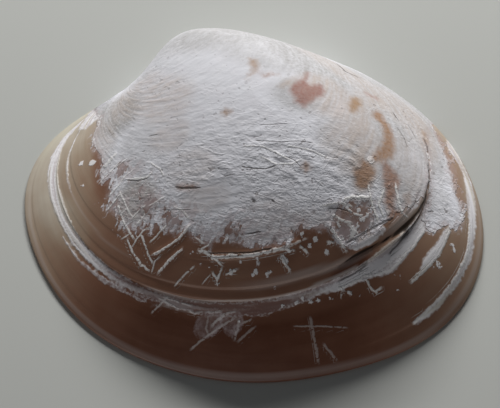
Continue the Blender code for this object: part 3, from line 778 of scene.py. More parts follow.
def side_of(x, y, stops):
    """Signed distance to the scratch, and how far past its ends each point lies."""
    nearest, side, past = np.full(x.shape, np.inf), np.zeros(x.shape), np.zeros(x.shape)
    for k in range(len(stops) - 1):
        start, run = np.array(stops[k]), np.subtract(stops[k + 1], stops[k])
        length = np.hypot(*run)
        away, _ = to_stroke(x, y, stops[k], stops[k + 1])
        along = ((x - start[0]) * run[0] + (y - start[1]) * run[1]) / length
        across = ((y - start[1]) * run[0] - (x - start[0]) * run[1]) / length
        closer = away < nearest
        nearest, side = np.where(closer, away, nearest), np.where(closer, across, side)
        before = -along if k == 0 else np.zeros(x.shape)
        after = along - length if k == len(stops) - 2 else np.zeros(x.shape)
        past = np.where(closer, np.clip(np.maximum(before, after), 0, None), past)
    return nearest, side, past


def line_layers(x, y, lines):
    """Shares the lines out: in each layer a signed place across the line and a strength."""
    layers = []
    for half_width, strength, stops in lines:
        nearest, side, past = side_of(x, y, stops)
        line_points = np.concatenate([
            np.linspace(stops[k], stops[k + 1], 12) for k in range(len(stops) - 1)])
        for layer in layers:
            if all(side_of(*line_points.T, other)[0].min() > LAYER_GAP for other in layer["stops"]):
                break
        else:
            layer = {
                "stops": [], "nearest": np.full(x.shape, np.inf),
                "side": np.full(x.shape, 9.0), "strength": np.zeros(x.shape),
            }
            layers.append(layer)
        layer["stops"].append(stops)
        closer = nearest < np.minimum(layer["nearest"], 0.5 * LAYER_GAP)
        seen = (1 - smooth_share(np.abs(side), *SEEN_TO)) * (1 - smooth_share(past, 0.0, END_FADE))
        layer["nearest"] = np.where(closer, nearest, layer["nearest"])
        layer["side"] = np.where(closer, side / half_width, layer["side"])
        layer["strength"] = np.where(closer, strength * seen, layer["strength"])
    return [(layer["side"], layer["strength"]) for layer in layers]


crack = crack_depth(surface_x, surface_y)
dark_lines = [(half_width, -strength, stops) for half_width, strength, stops in GROOVES]
scratch_fields = line_layers(surface_x, surface_y, SCRATCHES + dark_lines)
print("lines:", len(SCRATCHES) + len(GROOVES), "in layers:", len(scratch_fields))

# %% [markdown]
# ## How deep the brown is
# The coat is tan at the front end and deepens to chocolate along the lower margin. Its depth is
# given at a few places round two growth lines and blended between them.

# %% Depth of the brown
TONE_TURNS = [0, 20, 60, 100, 140, 160, 175, 190, 205, 220, 240, 270, 300, 320, 335, 345]
TONE_OUTER = [.34, .24, .12, .05, .02, .06, .15, .32, .52, .76, .94, 1.0, .92, .62, .47, .40]
TONE_INNER = [.30, .22, .15, .08, .05, .12, .24, .36, .50, .62, .66, .64, .66, .56, .42, .34]
# up to the first size the inner row counts, and from the second on the outer one
INNER_TO, OUTER_FROM = 0.82, 0.90
# the third patch is painted shade on the slope of the main ledge
# centre, half length, half height, turn in degrees, how much deeper the brown is there
TONE_PLACES = [
    ((-25.5, 6.5), 2.6, 8.5, 0, 0.22), ((-33.0, -2.5), 3.4, 9.0, 30, -0.14),
    ((15.5, -17.2), 5.0, 1.5, 30, 0.30),
]


def tone_round(values, turn):
    """The depth of the brown round one growth line."""
    return np.interp(np.degrees(turn) % 360, TONE_TURNS, values, period=360)


outer = smooth_share(sizes, INNER_TO, OUTER_FROM)
tone = (1 - outer) * tone_round(TONE_INNER, turns) + outer * tone_round(TONE_OUTER, turns)
for *where, change in TONE_PLACES:
    tone += change * soft_patch(surface_x, surface_y, *where)
print("brown tone, lightest and deepest:", round(float(tone.min()), 2), round(float(tone.max()), 2))

# %% [markdown]
# ## Relief of wear
# The chalk is crumbly where the sea has etched it and smooth where it was only rubbed. Relief that
# is wider than the mesh is real shape here, so it also shows from the side. The finest grain is
# left to the finish. All of it moves the surface along its own facing direction.

# %% Raise and lower the outside
LUMP, LUMP_WIDTH = 0.050, 2.1
WAVE, WAVES_ROUND, WAVES_PER_SIZE = 0.022, 1.5, 26.0
COAT_STEP = 0.05
# heights in mm
LIP_RAISED, MARGIN_LINE_RAISED, FILM_RAISED = 0.12, 0.05, 0.04
RIDGE_RAISED, CRACK_SUNK = 0.22, 0.45
# two of the pale lines also stand up: the one along the margin and the lip of the main ledge
MARGIN_LINE, LIP = PALE_LINES[:1], PALE_LINES[5:]
# the chalk is less crumbly up the slope, and in the smooth places
LEAST_CRUMBLE, CRUMBLY_BAND, RUBBED = 0.35, (-12.0, 2.0), 0.85
# centre, half length, half height, turn in degrees, how smooth the sea has rubbed it
SMOOTH_PLACES = [
    ((-6.8, -5.0), 6.5, 2.8, 8, 1.0), ((2.0, 20.0), 18.0, 8.5, -8, 0.9),
    ((24.0, 6.0), 8.0, 11.0, 15, 0.8),
    ((-14.0, 10.0), 8.0, 7.0, 20, 0.6),
]
# the same where only the grain of the finish is coarse
GRAINY_PLACES = [((25.0, 12.0), 12.0, 6.0, -42, 0.75)]
OPENED_FROM = 0.985
# half width and height in mm, then the places that each soft fold of the chalk passes
FOLDS = [
    (0.42, 0.11, [(-1.1, 1.9), (0.7, 1.2), (1.9, 0.8), (2.8, 0.1), (3.5, -1.0)]),
    (0.45, 0.14, [(2.3, 2.9), (4.6, 3.0), (6.5, 2.7), (9.0, 2.6), (11.1, 1.8), (13.2, 1.2),
                  (15.5, 0.7), (17.3, -0.4)]),
    (0.42, 0.13, [(3.9, 1.0), (5.5, 0.0), (6.8, -1.1), (7.8, -0.9)]),
    (0.42, 0.11, [(-0.4, -2.5), (1.6, -2.0), (3.5, -1.1)]),
    (0.42, 0.12, [(5.1, -1.7), (6.6, -2.4), (7.5, -3.5), (8.2, -4.2)]),
    (0.45, 0.12, [(7.9, 1.1), (10.2, 0.1), (12.7, -0.2), (14.6, 0.1)]),
    (0.40, 0.12, [(-1.1, 3.1), (0.2, 2.9), (1.6, 2.5)]),
    (0.50, 0.15, [(10.4, -0.9), (12.2, -1.6), (14.2, -2.6)]),
    (0.50, 0.13, [(11.5, -2.7), (13.1, -4.0), (15.3, -4.9), (16.4, -5.8)]),
    (0.50, 0.12, [(-7.2, 1.2), (-5.2, 0.0), (-3.9, -1.0)]),
    (0.50, 0.10, [(-2.0, 5.3), (1.7, 5.3), (4.7, 4.4)]),
    (0.50, 0.12, [(13.9, 2.6), (16.1, 2.3), (17.9, 1.3)]),
    (0.55, 0.18, [(12.7, -7.0), (14.4, -6.8), (16.4, -6.2), (19.2, -5.8)]),
    (0.60, 0.14, [(-23.3, 23.2), (-25.8, 20.6), (-28.3, 17.9), (-30.0, 15.5)]),
    (0.38, 0.24, [(-7.2, -14.3), (-4.4, -14.4), (-0.5, -14.6), (3.0, -14.1), (6.9, -13.1)]),
    (0.36, 0.20, [(12.6, -10.4), (13.7, -12.6), (15.2, -13.9)]),
    (0.36, 0.16, [(-16.4, -15.2), (-14.1, -13.3), (-12.6, -12.4)]),
    (0.36, 0.16, [(-17.2, -12.3), (-14.9, -11.6), (-12.7, -10.5), (-11.1, -9.0)]),
]


def fold_height(x, y):
    """How high the soft folds stand, the highest where several meet."""
    raised = np.zeros(x.shape)
    for half_width, tall, stops in FOLDS:
        away = side_of(x, y, stops)[0]
        raised = np.maximum(raised, tall * np.exp(-((away / half_width) ** 2)))
    return raised


def noise_at(points, octaves, shift):
    """Even random relief about 0 at each point."""
    shift = Vector((shift, 0, 0))
    return np.array([noise.fractal(Vector(point) + shift, 1.0, 2.0, octaves) for point in points])


smooth = patches(surface_x, surface_y, SMOOTH_PLACES)
chalk_share = smooth_share(chalk, -0.4, 0.8)
crumbly = LEAST_CRUMBLE + (1 - LEAST_CRUMBLE) * smooth_share(-surface_y, *CRUMBLY_BAND)
crumble = (1 - RUBBED * smooth) * crumbly
grainy = np.maximum(crumble, patches(surface_x, surface_y, GRAINY_PLACES))
lumps = noise_at(places / LUMP_WIDTH, 3, 3.7)
on_growth = np.stack([
    WAVES_ROUND * np.cos(turns), WAVES_ROUND * np.sin(turns), WAVES_PER_SIZE * sizes], axis=-1)
waves = noise_at(on_growth, 2, 9.1)
lift = LUMP * crumble * chalk_share * lumps - COAT_STEP * chalk_share
lift += WAVE * (1 - 0.6 * chalk_share) * free_side(turns) * waves
lift += LIP_RAISED * band_cover(LIP, turns, sizes) + fold_height(surface_x, surface_y)
film_height = FILM_RAISED * smooth_share(film, -0.1, 0.3) * (1 - chalk_share)
lift += MARGIN_LINE_RAISED * band_cover(MARGIN_LINE, turns, sizes) + film_height
lift += RIDGE_RAISED * smooth_share(ridge, -0.25, 0.35)
lift -= CRACK_SUNK * smooth_share(crack, -0.30, 0.30)
lift *= 1 - smooth_share(sizes, OPENED_FROM, 1.0)
places = places + lift[:, None] * facing
put_at(outside, places)
bmesh.ops.recalc_face_normals(outside, faces=outside.faces)
bmesh.ops.poke(outside, faces=beak_cap)
print("relief, mm:", round(float(lift.min()), 2), "to", round(float(lift.max()), 2))

# %% [markdown]
# ## The hollow
# The inside follows the same growth rule, a little smaller, so the wall keeps an even thickness and
# thins towards the free rim. Under the beak a flat hinge plate with its teeth crosses the hollow.
# The growth lines run along that plate, so it can't be bent out of the rings. It is made as a slab
# of its own, and a Boolean takes it out of the hollow.

# %% Rings of the hollow
HOLLOW_SCALE, HOLLOW_FLARE, HOLLOW_FLARE_FROM = 0.914, 0.024, 0.88
HOLLOW_CENTRE = np.array([0.0, -0.8, -0.4])
HOLLOW_SIZES = np.concatenate([[1.0, 0.996, 0.99], np.linspace(0.98, 0.17, 48)])
HOLLOW_HALVED_FROM = 0.9
# outset from the wall and height of the rings that round the inner edge of the rim
HOLLOW_FOOT = np.array([(0.25, 0.0), (0.06, 0.12), (0.0, 0.35)])


def hollow_place(turn, size):
    """The plain growth form made smaller, and flared where the wall thins to the free rim."""
    near_rim = np.clip((size - HOLLOW_FLARE_FROM) / (1 - HOLLOW_FLARE_FROM), 0, None)
    scale = HOLLOW_SCALE + HOLLOW_FLARE * free_side(turn) * near_rim**2
    return HOLLOW_CENTRE + scale[:, None] * (grown(turn, size) - HOLLOW_CENTRE)


hollow = bmesh.new()
hollow_rings = len(HOLLOW_FOOT) + len(HOLLOW_SIZES)
column_layer, ring_layer, hollow_top = extruded_rings(hollow, COLUMNS, hollow_rings)
bmesh.ops.contextual_create(hollow, geom=ring_edges(hollow, ring_layer, 0))
roof = bmesh.ops.contextual_create(hollow, geom=hollow_top)["faces"]
first = len(HOLLOW_FOOT) + int(np.argmax(HOLLOW_SIZES < HOLLOW_HALVED_FROM))
thin_columns(hollow, column_layer, ring_layer, first, 1)
hollow_turns = SEAM + 2 * math.pi * remembered(hollow, column_layer) / COLUMNS
hollow_ring_of = remembered(hollow, ring_layer)
hollow_sizes = HOLLOW_SIZES[np.clip(hollow_ring_of - len(HOLLOW_FOOT), 0, None)]
hollow_places = hollow_place(hollow_turns, hollow_sizes)
round_foot(hollow_places, hollow_turns, hollow_ring_of, HOLLOW_FOOT, 1)
put_at(hollow, hollow_places)
bmesh.ops.poke(hollow, faces=roof)
print("hollow faces:", len(hollow.faces))

# %% [markdown]
# ## The hinge plate
# The slab is one closed profile, extruded in short steps along the arched edge of the plate. Its
# underside carries the teeth, which are raised where the profile passes over them, so they grow out
# of the plate without a seam.

# %% Shape of the plate and its teeth
PLATE_FRONT, PLATE_BACK, PLATE_ARCH = np.array([-33.0, 10.0]), np.array([29.0, 14.5]), 9.6
PLATE_LOW, PLATE_HIGH, PLATE_ROUND, PLATE_DEPTH = 1.4, 4.4, 1.1, 11.0
PLATE_STEPS = 190
# the slab starts before the front point and ends after the back one, as a share of the way
PLATE_FROM, PLATE_RUN = -0.07, 1.11
# how far the flat top and the foot of a tooth reach from its middle, as a share of its width
TOOTH_TOP, TOOTH_FOOT = 0.2, 0.85
# start and end on the plate, width and height
TEETH = [
    ((-15.8, 25.6), (-19.6, 20.8), 1.1, 1.0),
    ((-13.2, 26.2), (-12.8, 20.6), 2.0, 1.1),
    ((-10.4, 26.8), (-3.0, 23.6), 1.2, 1.0),
    ((-21.8, 18.6), (-26.2, 15.8), 1.7, 1.0),
    ((-6.0, 28.0), (14.0, 26.0), 1.2, 0.7),
]


def plate_profile():
    """Depth behind the free edge and height of each point round the slab."""
    under = [(depth, PLATE_LOW) for depth in np.linspace(PLATE_DEPTH, PLATE_ROUND, 32)]
    middle = (PLATE_LOW + PLATE_HIGH) / 2
    nose = []
    for angle in np.linspace(-math.pi / 2, math.pi / 2, 14)[1:-1]:
        lift = (PLATE_HIGH - PLATE_LOW) / 2 - PLATE_ROUND
        centre = middle + math.copysign(lift, angle)
        nose.append((PLATE_ROUND * (1 - math.cos(angle)), centre + PLATE_ROUND * math.sin(angle)))
    over = [(depth, PLATE_HIGH) for depth in np.linspace(PLATE_ROUND, PLATE_DEPTH, 9)]
    return np.array(under + nose + over)


profile = plate_profile()
plate = bmesh.new()
point_layer, step_layer, plate_end = extruded_rings(plate, len(profile), PLATE_STEPS)
bmesh.ops.contextual_create(plate, geom=ring_edges(plate, step_layer, 0))
bmesh.ops.contextual_create(plate, geom=plate_end)
share = PLATE_FROM + PLATE_RUN * remembered(plate, step_layer) / (PLATE_STEPS - 1)
depth, height = profile[remembered(plate, point_layer)].T
run = PLATE_BACK - PLATE_FRONT
x = PLATE_FRONT[0] + run[0] * share
y = PLATE_FRONT[1] + run[1] * share + 4 * PLATE_ARCH * share * (1 - share) + depth
for start, end, width, tall in TEETH:
    away, _ = to_stroke(x, y, start, end)
    tooth = tall * (1 - smooth_share(away, TOOTH_TOP * width, TOOTH_FOOT * width))
    height = height - np.where(height == PLATE_LOW, tooth, 0)
put_at(plate, np.stack([x, y, height], axis=-1))
bmesh.ops.recalc_face_normals(plate, faces=plate.faces)
bmesh.ops.recalc_face_normals(hollow, faces=hollow.faces)


# %% Take the plate out of the hollow
def in_scene(name, data):
    """A new object in the scene that shows a mesh, a light or a camera."""
    made = bpy.data.objects.new(name, data)
    bpy.context.scene.collection.objects.link(made)
    return made


def as_object(name, bm):
    """Turns the working mesh into an object."""
    mesh = bpy.data.meshes.new(name)
    bm.to_mesh(mesh)
    bm.free()
    return in_scene(name, mesh)


hollow_object, plate_object = as_object("hollow", hollow), as_object("plate", plate)
cut = hollow_object.modifiers.new("plate", "BOOLEAN")
cut.operation, cut.solver, cut.object = "DIFFERENCE", "EXACT", plate_object
bpy.context.view_layer.update()
inside_mesh = bpy.data.meshes.new_from_object(
    hollow_object.evaluated_get(bpy.context.evaluated_depsgraph_get()))
for made in (hollow_object, plate_object):
    bpy.data.objects.remove(made)
print("inside faces:", len(inside_mesh.polygons))

# %% [markdown]
# ## One closed shell
# The inside is turned round to face the hollow, and its lower edge is bridged to the foot of the
# outside. That narrow flat ring is what the valve rests on.

# %% Join the inside to the outside
inside = bmesh.new()
inside.from_mesh(inside_mesh)
bpy.data.meshes.remove(inside_mesh)
lid = [face for face in inside.faces if all(vert.co.z < 1e-6 for vert in face.verts)]
bmesh.ops.delete(inside, geom=lid, context="FACES")
bmesh.ops.reverse_faces(inside, faces=inside.faces)
for face in inside.faces:
    face.material_index = 1
row_layer = outside.verts.layers.int.new("row")
for number, vert in enumerate(outside.verts):
    vert[row_layer] = number + 1
joined_mesh = bpy.data.meshes.new("clam_valve")
inside.to_mesh(joined_mesh)
inside.free()
outside.from_mesh(joined_mesh)
open_edges = [edge for edge in outside.edges if edge.is_boundary]
foot_faces = bmesh.ops.bridge_loops(outside, edges=open_edges)["faces"]
for face in foot_faces:
    face.material_index = 1
print("open edges bridged:", len(open_edges), "faces at the foot:", len(foot_faces))

# %% Close the mesh and store what the finish needs
mesh = joined_mesh
outside.to_mesh(mesh)
print("edges not shared by two faces:", sum(not edge.is_manifold for edge in outside.edges))
outside.free()
valve = in_scene("clam_valve", mesh)
mesh.shade_smooth()
row = np.zeros(len(mesh.vertices), np.int32)
mesh.attributes["row"].data.foreach_get("value", row)
of_outside = row > 0
# the vertex at the tip of the beak came last and takes the values of the ring round it
row_in_fields = np.minimum(row[of_outside] - 1, len(turns) - 1)
print("outside vertices:", int(of_outside.sum()), "inside vertices:", int((~of_outside).sum()))


def keep(name, rows):
    """Adds an attribute with three numbers for each vertex of the mesh."""
    mesh.attributes.new(name, "FLOAT_VECTOR", "POINT").data.foreach_set("vector", rows.ravel())


def store(name, *columns):
    """Three numbers for each vertex of the outside, kept as a named attribute."""
    spread = np.zeros((len(row), 3), np.float32)
    spread[of_outside] = np.stack(columns, axis=-1)[row_in_fields]
    keep(name, spread)


store("growth", np.cos(turns), np.sin(turns), sizes)
store("chalk", np.clip(chalk, -4, 4), np.clip(veil, -4, 4), torn)
store("stain", np.clip(stain, -3, 3), stain_red, stain_strength)
store("film", np.clip(film, -3, 3), film_white, pale_line)
store("crack", np.clip(crack, -2, 2), np.clip(crumb, -2, 2), dull)
store("tone", tone, grainy, warm)
for number, (side, strength) in enumerate(scratch_fields):
    store(f"scratch_{number}", side, strength, np.zeros_like(side))
mesh.calc_loop_triangles()
print("triangles:", len(mesh.loop_triangles))

# %% [markdown]
# ## Scars of the muscles
# Two muscles held the halves together, and each left a smooth oval scar in the hollow. A thin line
# joins the scars where the soft body was fixed to the shell, with a bay at the back for its tubes.
# The photograph doesn't show the inside, so these are the usual marks of a clam of this form. They
# are only a tenth of a millimetre deep, so the vertices that are already there are moved.

# %% Sink the scars into the hollow
FRONT_SCAR = [
    (-27.6, 6.6), (-25.8, 8.4), (-23.4, 7.8), (-22.0, 5.0), (-22.2, 1.6), (-23.8, -1.8),
    (-26.2, -3.2), (-28.0, -0.4), (-28.4, 3.4),
]
BACK_SCAR = [
    (20.6, 9.6), (23.4, 11.0), (26.6, 9.8), (28.2, 6.4), (28.0, 2.2), (25.8, -0.8), (22.6, -0.6),
    (20.6, 2.4), (19.8, 6.2),
]
BODY_LINE = [
    (-25.6, -3.4), (-24.0, -8.6), (-19.6, -14.6), (-12.0, -19.4), (-3.0, -22.2), (6.0, -22.6),
    (14.0, -20.4), (20.6, -15.6), (24.0, -10.4), (22.0, -7.6), (15.0, -7.6), (9.6, -6.0),
    (7.6, -3.0), (9.6, -0.2), (15.0, 0.8), (21.4, 0.6),
]
SCAR_SUNK, LINE_SUNK, LINE_HALF, LINE_SEEN_TO, ABOVE_PLATE = 0.12, 0.06, 0.6, (1.2, 1.8), 3.5
points = np.zeros(3 * len(row), np.float32)
mesh.vertices.foreach_get("co", points)
points = 1000 * points.reshape(-1, 3)
x, y = points[:, 0], points[:, 1]
scar = np.maximum(depth_inside(x, y, FRONT_SCAR), depth_inside(x, y, BACK_SCAR))
line_away, line_side, _ = side_of(x, y, BODY_LINE)
line_share = 1 - smooth_share(line_away, 0.0, 2 * LINE_HALF)
sunk = SCAR_SUNK * smooth_share(scar, -0.3, 0.5) + LINE_SUNK * line_share
points[:, 2] += np.where(~of_outside & (points[:, 2] > ABOVE_PLATE), sunk, 0)
mesh.vertices.foreach_set("co", (points / 1000).ravel())
mesh.update()
line_seen = 1 - smooth_share(line_away, *LINE_SEEN_TO)
scars = np.stack([np.clip(scar, -3, 3), np.clip(line_side, -3, 3), line_seen], axis=-1)
keep("scars", scars.astype(np.float32))
print("vertices in the scars:", int(((scar > 0) & ~of_outside).sum()))

# %% Hand the valve over
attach(valve, "root")
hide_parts("left_valve")

# %% [markdown]
# ## Finishes
# A finish is a web of small nodes. A few short helpers place a node and wire it, so that each cell
# below reads as a recipe. Effects that are used more than once, such as a frayed edge or the growth
# lines, are groups with named inputs.

# %% Helpers that place and wire nodes
def wire(tree, value, socket):
    if isinstance(value, bpy.types.NodeSocket):
        tree.links.new(value, socket)
    elif value is not None:
        socket.default_value = value


def maths(tree, operation, *values, clamp=False):
    made = tree.nodes.new("ShaderNodeMath")
    made.operation, made.use_clamp = operation, clamp
    for value, socket in zip(values, made.inputs):
        wire(tree, value, socket)
    return made.outputs[0]


def strongest(tree, *values):
    """The highest of several masks."""
    result = values[0]
    for value in values[1:]:
        result = maths(tree, "MAXIMUM", result, value)
    return result


def product(tree, *values):
    """All the values multiplied."""
    result = values[0]
    for value in values[1:]:
        result = maths(tree, "MULTIPLY", result, value)
    return result


def scaled(tree, value, factor, plus):
    """The value times a factor, plus another value."""
    return maths(tree, "MULTIPLY_ADD", value, factor, plus)


def centred(tree, value, reach):
    """A noise value moved to lie evenly about 0, and scaled."""
    return scaled(tree, value, reach, -0.5 * reach)


def eased(tree, value, start, end, low=0.0, high=1.0):
    """low below start, high above end, and an easy curve between."""
    made = tree.nodes.new("ShaderNodeMapRange")
    made.interpolation_type = "SMOOTHSTEP"
    settings = {
        "Value": value, "From Min": start, "From Max": end, "To Min": low, "To Max": high}
    for name, setting in settings.items():
        wire(tree, setting, made.inputs[name])
    return made.outputs["Result"]


def mixed(tree, share, first, second):
    made = tree.nodes.new("ShaderNodeMix")
    made.data_type = "RGBA"
    wire(tree, share, made.inputs["Factor"])
    for value, socket in ((first, made.inputs[6]), (second, made.inputs[7])):
        wire(tree, (*value, 1.0) if isinstance(value, tuple) else value, socket)
    return made.outputs[2]


def speckle(tree, place, scale=1.0, detail=2.0, roughness=0.5, distortion=0.0):
    made = tree.nodes.new("ShaderNodeTexNoise")
    wire(tree, place, made.inputs["Vector"])
    settings = {
        "Scale": scale, "Detail": detail, "Roughness": roughness, "Distortion": distortion}
    for name, setting in settings.items():
        made.inputs[name].default_value = setting
    return made.outputs["Fac"]


def stretched(tree, place, lengths, turn=0.0):
    """The place in steps of the given lengths, so that a pattern on it is stretched one way."""
    made = tree.nodes.new("ShaderNodeMapping")
    made.vector_type = "TEXTURE"
    wire(tree, place, made.inputs["Vector"])
    made.inputs["Rotation"].default_value = (0, 0, turn)
    made.inputs["Scale"].default_value = lengths
    return made.outputs["Vector"]


def stored(tree, name):
    """The three numbers kept under that name."""
    made = tree.nodes.new("ShaderNodeAttribute")
    made.attribute_name = name
    split = tree.nodes.new("ShaderNodeSeparateXYZ")
    tree.links.new(made.outputs["Vector"], split.inputs["Vector"])
    return list(split.outputs)


def group(name, inputs, outputs):
    """A node group with named sockets: name to kind and default."""
    tree = bpy.data.node_groups.new(name, "ShaderNodeTree")

    def socket(socket_name, way, kind):
        return tree.interface.new_socket(
            socket_name, in_out=way, socket_type="NodeSocket" + kind)

    for socket_name, (kind, default) in inputs.items():
        made = socket(socket_name, "INPUT", kind)
        if default is not None:
            made.default_value = default
    for socket_name, kind in outputs.items():
        socket(socket_name, "OUTPUT", kind)
    given = tree.nodes.new("NodeGroupInput").outputs
    return tree, given, tree.nodes.new("NodeGroupOutput").inputs


def new_material(name):
    """A material with its web of nodes and its shader."""
    material = bpy.data.materials.new(name)
    material.use_nodes = True
    return material, material.node_tree, material.node_tree.nodes["Principled BSDF"]


def show_relief(tree, height, shader):
    """Lets the shader show fine relief, given in mm."""
    bump = tree.nodes.new("ShaderNodeBump")
    bump.inputs["Distance"].default_value = 0.001
    wire(tree, height, bump.inputs["Height"])
    wire(tree, bump.outputs["Normal"], shader.inputs["Normal"])


def placed(tree, group_tree, **values):
    """Places a group; the keywords are its inputs in small letters."""
    made = tree.nodes.new("ShaderNodeGroup")
    made.node_tree = group_tree
    for name, value in values.items():
        wire(tree, value, made.inputs[name.replace("_", " ").capitalize()])
    return made.outputs


# %% [markdown]
# ## Frayed edges
# The stored distance to an outline is smooth. Noise is added to it before it is cut off, so the
# edge wanders in and out and leaves lobes and crumbs on both sides, as the torn coat does. The
# group also gives the narrow rim just inside the edge, which is where the light catches.

# %% The frayed edge group
frayed_edge, given, result = group(
    "frayed_edge",
    {
        "Place": ("Vector", None), "Depth": ("Float", 0.0), "Fray": ("Float", 0.6),
        "Softness": ("Float", 0.12),
    },
    {"Mask": "Float", "Rim": "Float", "Depth": "Float"},
)
tree = frayed_edge
lobes = centred(tree, speckle(tree, given["Place"], 0.40, 1.0, 0.5), 2.2)
crumbs = centred(tree, speckle(tree, given["Place"], 1.25, 1.0, 0.5), 2.2)
crumbs = product(tree, crumbs, scaled(tree, given["Fray"], 0.75, 0.25))
wander = scaled(tree, lobes, given["Fray"], crumbs)
shifted = maths(tree, "ADD", wander, given["Depth"])
under = product(tree, given["Softness"], -1.0)
mask = eased(tree, shifted, under, given["Softness"])
wire(tree, mask, result["Mask"])
rim = product(tree, mask, eased(tree, shifted, 0.10, 0.45, 1.0, 0.0))
wire(tree, rim, result["Rim"])
wire(tree, shifted, result["Depth"])
print("nodes in a frayed edge:", len(frayed_edge.nodes))

# %% [markdown]
# ## Growth lines and wrinkles
# Fine growth lines run over the whole valve. Noise that is squeezed along the growth direction
# gives lines that swell and fade as real ones do. The wrinkles in the chalk cross each other: each
# set is the narrow strip where a long, stretched noise passes its middle value.

# %% The growth line group
growth_lines, given, result = group(
    "growth_lines", {"Growth": ("Vector", None)}, {"Broad": "Float", "Fine": "Float"})
tree = growth_lines
broad_place = stretched(tree, given["Growth"], (0.62, 0.62, 0.030))
fine_place = stretched(tree, given["Growth"], (0.30, 0.30, 0.0125))
wire(tree, speckle(tree, broad_place, 1.0, 2.0, 0.5), result["Broad"])
wire(tree, speckle(tree, fine_place, 1.0, 1.0, 0.5), result["Fine"])

# %% The wrinkle group
wrinkles, given, result = group("wrinkles", {"Place": ("Vector", None)}, {"Mask": "Float"})
tree = wrinkles
sets = []
for turn, lengths in ((0.95, (5.5, 1.3, 2.4)), (-0.35, (7.0, 1.6, 3.0))):
    across = speckle(tree, stretched(tree, given["Place"], lengths, turn), 1.0, 1.0, 0.5, 0.25)
    away = maths(tree, "ABSOLUTE", maths(tree, "SUBTRACT", across, 0.5))
    sets.append(eased(tree, away, 0.006, 0.050, 1.0, 0.0))
broken = eased(tree, speckle(tree, given["Place"], 0.55, 1.0, 0.5), 0.46, 0.58)
wire(tree, product(tree, strongest(tree, *sets), broken), result["Mask"])
print("nodes in the wrinkles:", len(wrinkles.nodes))

# %% The chalk grain group
chalk_grain, given, result = group(
    "chalk_grain",
    {
        "Place": ("Vector", None), "Fine lines": ("Float", 0.5), "Wrinkles": ("Float", 0.0),
        "Crumble": ("Float", 1.0),
    },
    {"Height": "Float", "Pits": "Float"},
)
tree = chalk_grain
bark_place = stretched(tree, given["Place"], (1.7, 0.85, 1.2), -0.15)
crumbs = speckle(tree, bark_place, 1.25, 2.0, 0.60)
fading = eased(tree, given["Crumble"], 0.1, 0.9, 0.10, 0.05)
line_part = product(tree, given["Fine lines"], fading)
crumb_part = product(tree, crumbs, scaled(tree, given["Crumble"], 0.150, 0.018))
wrinkle_part = product(tree, given["Wrinkles"], scaled(tree, given["Crumble"], 0.026, 0.006))
pits = eased(tree, speckle(tree, given["Place"], 1.15, 0.5, 0.5), 0.71, 0.77)
pits = product(tree, pits, scaled(tree, given["Crumble"], 0.7, 0.3))
fine_part = product(tree, speckle(tree, given["Place"], 2.1, 1.0, 0.5), given["Crumble"])
height = maths(tree, "ADD", maths(tree, "ADD", line_part, crumb_part), wrinkle_part)
height = scaled(tree, fine_part, 0.045, height)
wire(tree, scaled(tree, pits, -0.06, height), result["Height"])
wire(tree, pits, result["Pits"])
print("nodes in the chalk grain:", len(chalk_grain.nodes))

# %% [markdown]
# ## The worn shell
# From below upwards: the brown coat, the pale film along the ledges, a thin veil where the coat is
# half worn off, the chalk with its frayed edge, the stains that are left in it, then the scratches
# and painted shade in the crack and the grooves. Painted highlights run along the rims of the chalk
# and the film. The coat is glossy and everything white is dull, so roughness follows the same masks
# as colour.

# %% Colours of the worn shell
BROWN_BY_DEPTH = [
    (0.00, (0.66, 0.62, 0.51)), (0.12, (0.54, 0.475, 0.395)), (0.28, (0.43, 0.335, 0.255)),
    (0.45, (0.345, 0.225, 0.158)), (0.62, (0.280, 0.148, 0.098)), (0.80, (0.210, 0.092, 0.056)),
    (1.00, (0.114, 0.036, 0.016)),
]
FILM_BARE, FILM_PALE, FILM_WARM = (0.27, 0.170, 0.165), (0.92, 0.90, 0.94), (0.70, 0.65, 0.58)
CHALK_OLD, CHALK_YOUNG, CHALK_CLOUDED = (0.67, 0.67, 0.715), (0.88, 0.88, 0.95), (0.74, 0.73, 0.785)
CHALK_WARM, CHALK_THIN, CHALK_PIT_SHADE = (0.60, 0.49, 0.435), (0.40, 0.315, 0.315), (0.20, 0.165, 0.16)
CHALK_DULL, VEIL = (0.425, 0.415, 0.420), (0.54, 0.45, 0.465)
STAIN_TAN, STAIN_RED = (0.39, 0.245, 0.145), (0.345, 0.175, 0.145)
SCRATCH_WHITE, HIGHLIGHT_AND_CHALK_WHITE, PALE_LINE_AND_HIGHLIGHT = (0.92, 0.90, 0.90), (0.88, 0.86, 0.88), (0.62, 0.56, 0.54)
CRACK_AND_GROOVE_SHADE = (0.030, 0.018, 0.012)


def ramp(tree, value, stops):
    made = tree.nodes.new("ShaderNodeValToRGB")
    wire(tree, value, made.inputs["Fac"])
    elements = made.color_ramp.elements
    while len(elements) < len(stops):
        elements.new(0.5)
    for element, (position, colour) in zip(elements, stops):
        element.position, element.color = position, (*colour, 1.0)
    return made.outputs["Color"]


def in_millimetres(tree):
    place = tree.nodes.new("ShaderNodeTexCoord").outputs["Object"]
    return stretched(tree, place, (0.001, 0.001, 0.001))


# %% Masks of the worn shell
worn, tree, shader = new_material("worn_brown_shell")
place = in_millimetres(tree)
growth_attribute = tree.nodes.new("ShaderNodeAttribute")
growth_attribute.attribute_name = "growth"
lines = placed(tree, growth_lines, growth=growth_attribute.outputs["Vector"])
size = stored(tree, "growth")[2]
brown_depth, crumble_at, warm_at = stored(tree, "tone")
chalk_at, veil_at, torn_at = stored(tree, "chalk")
film_at, film_white_at, pale_line_at = stored(tree, "film")
stain_at, stain_red_at, stain_strength_at = stored(tree, "stain")
crack_at, crumb_at, dull_at = stored(tree, "crack")

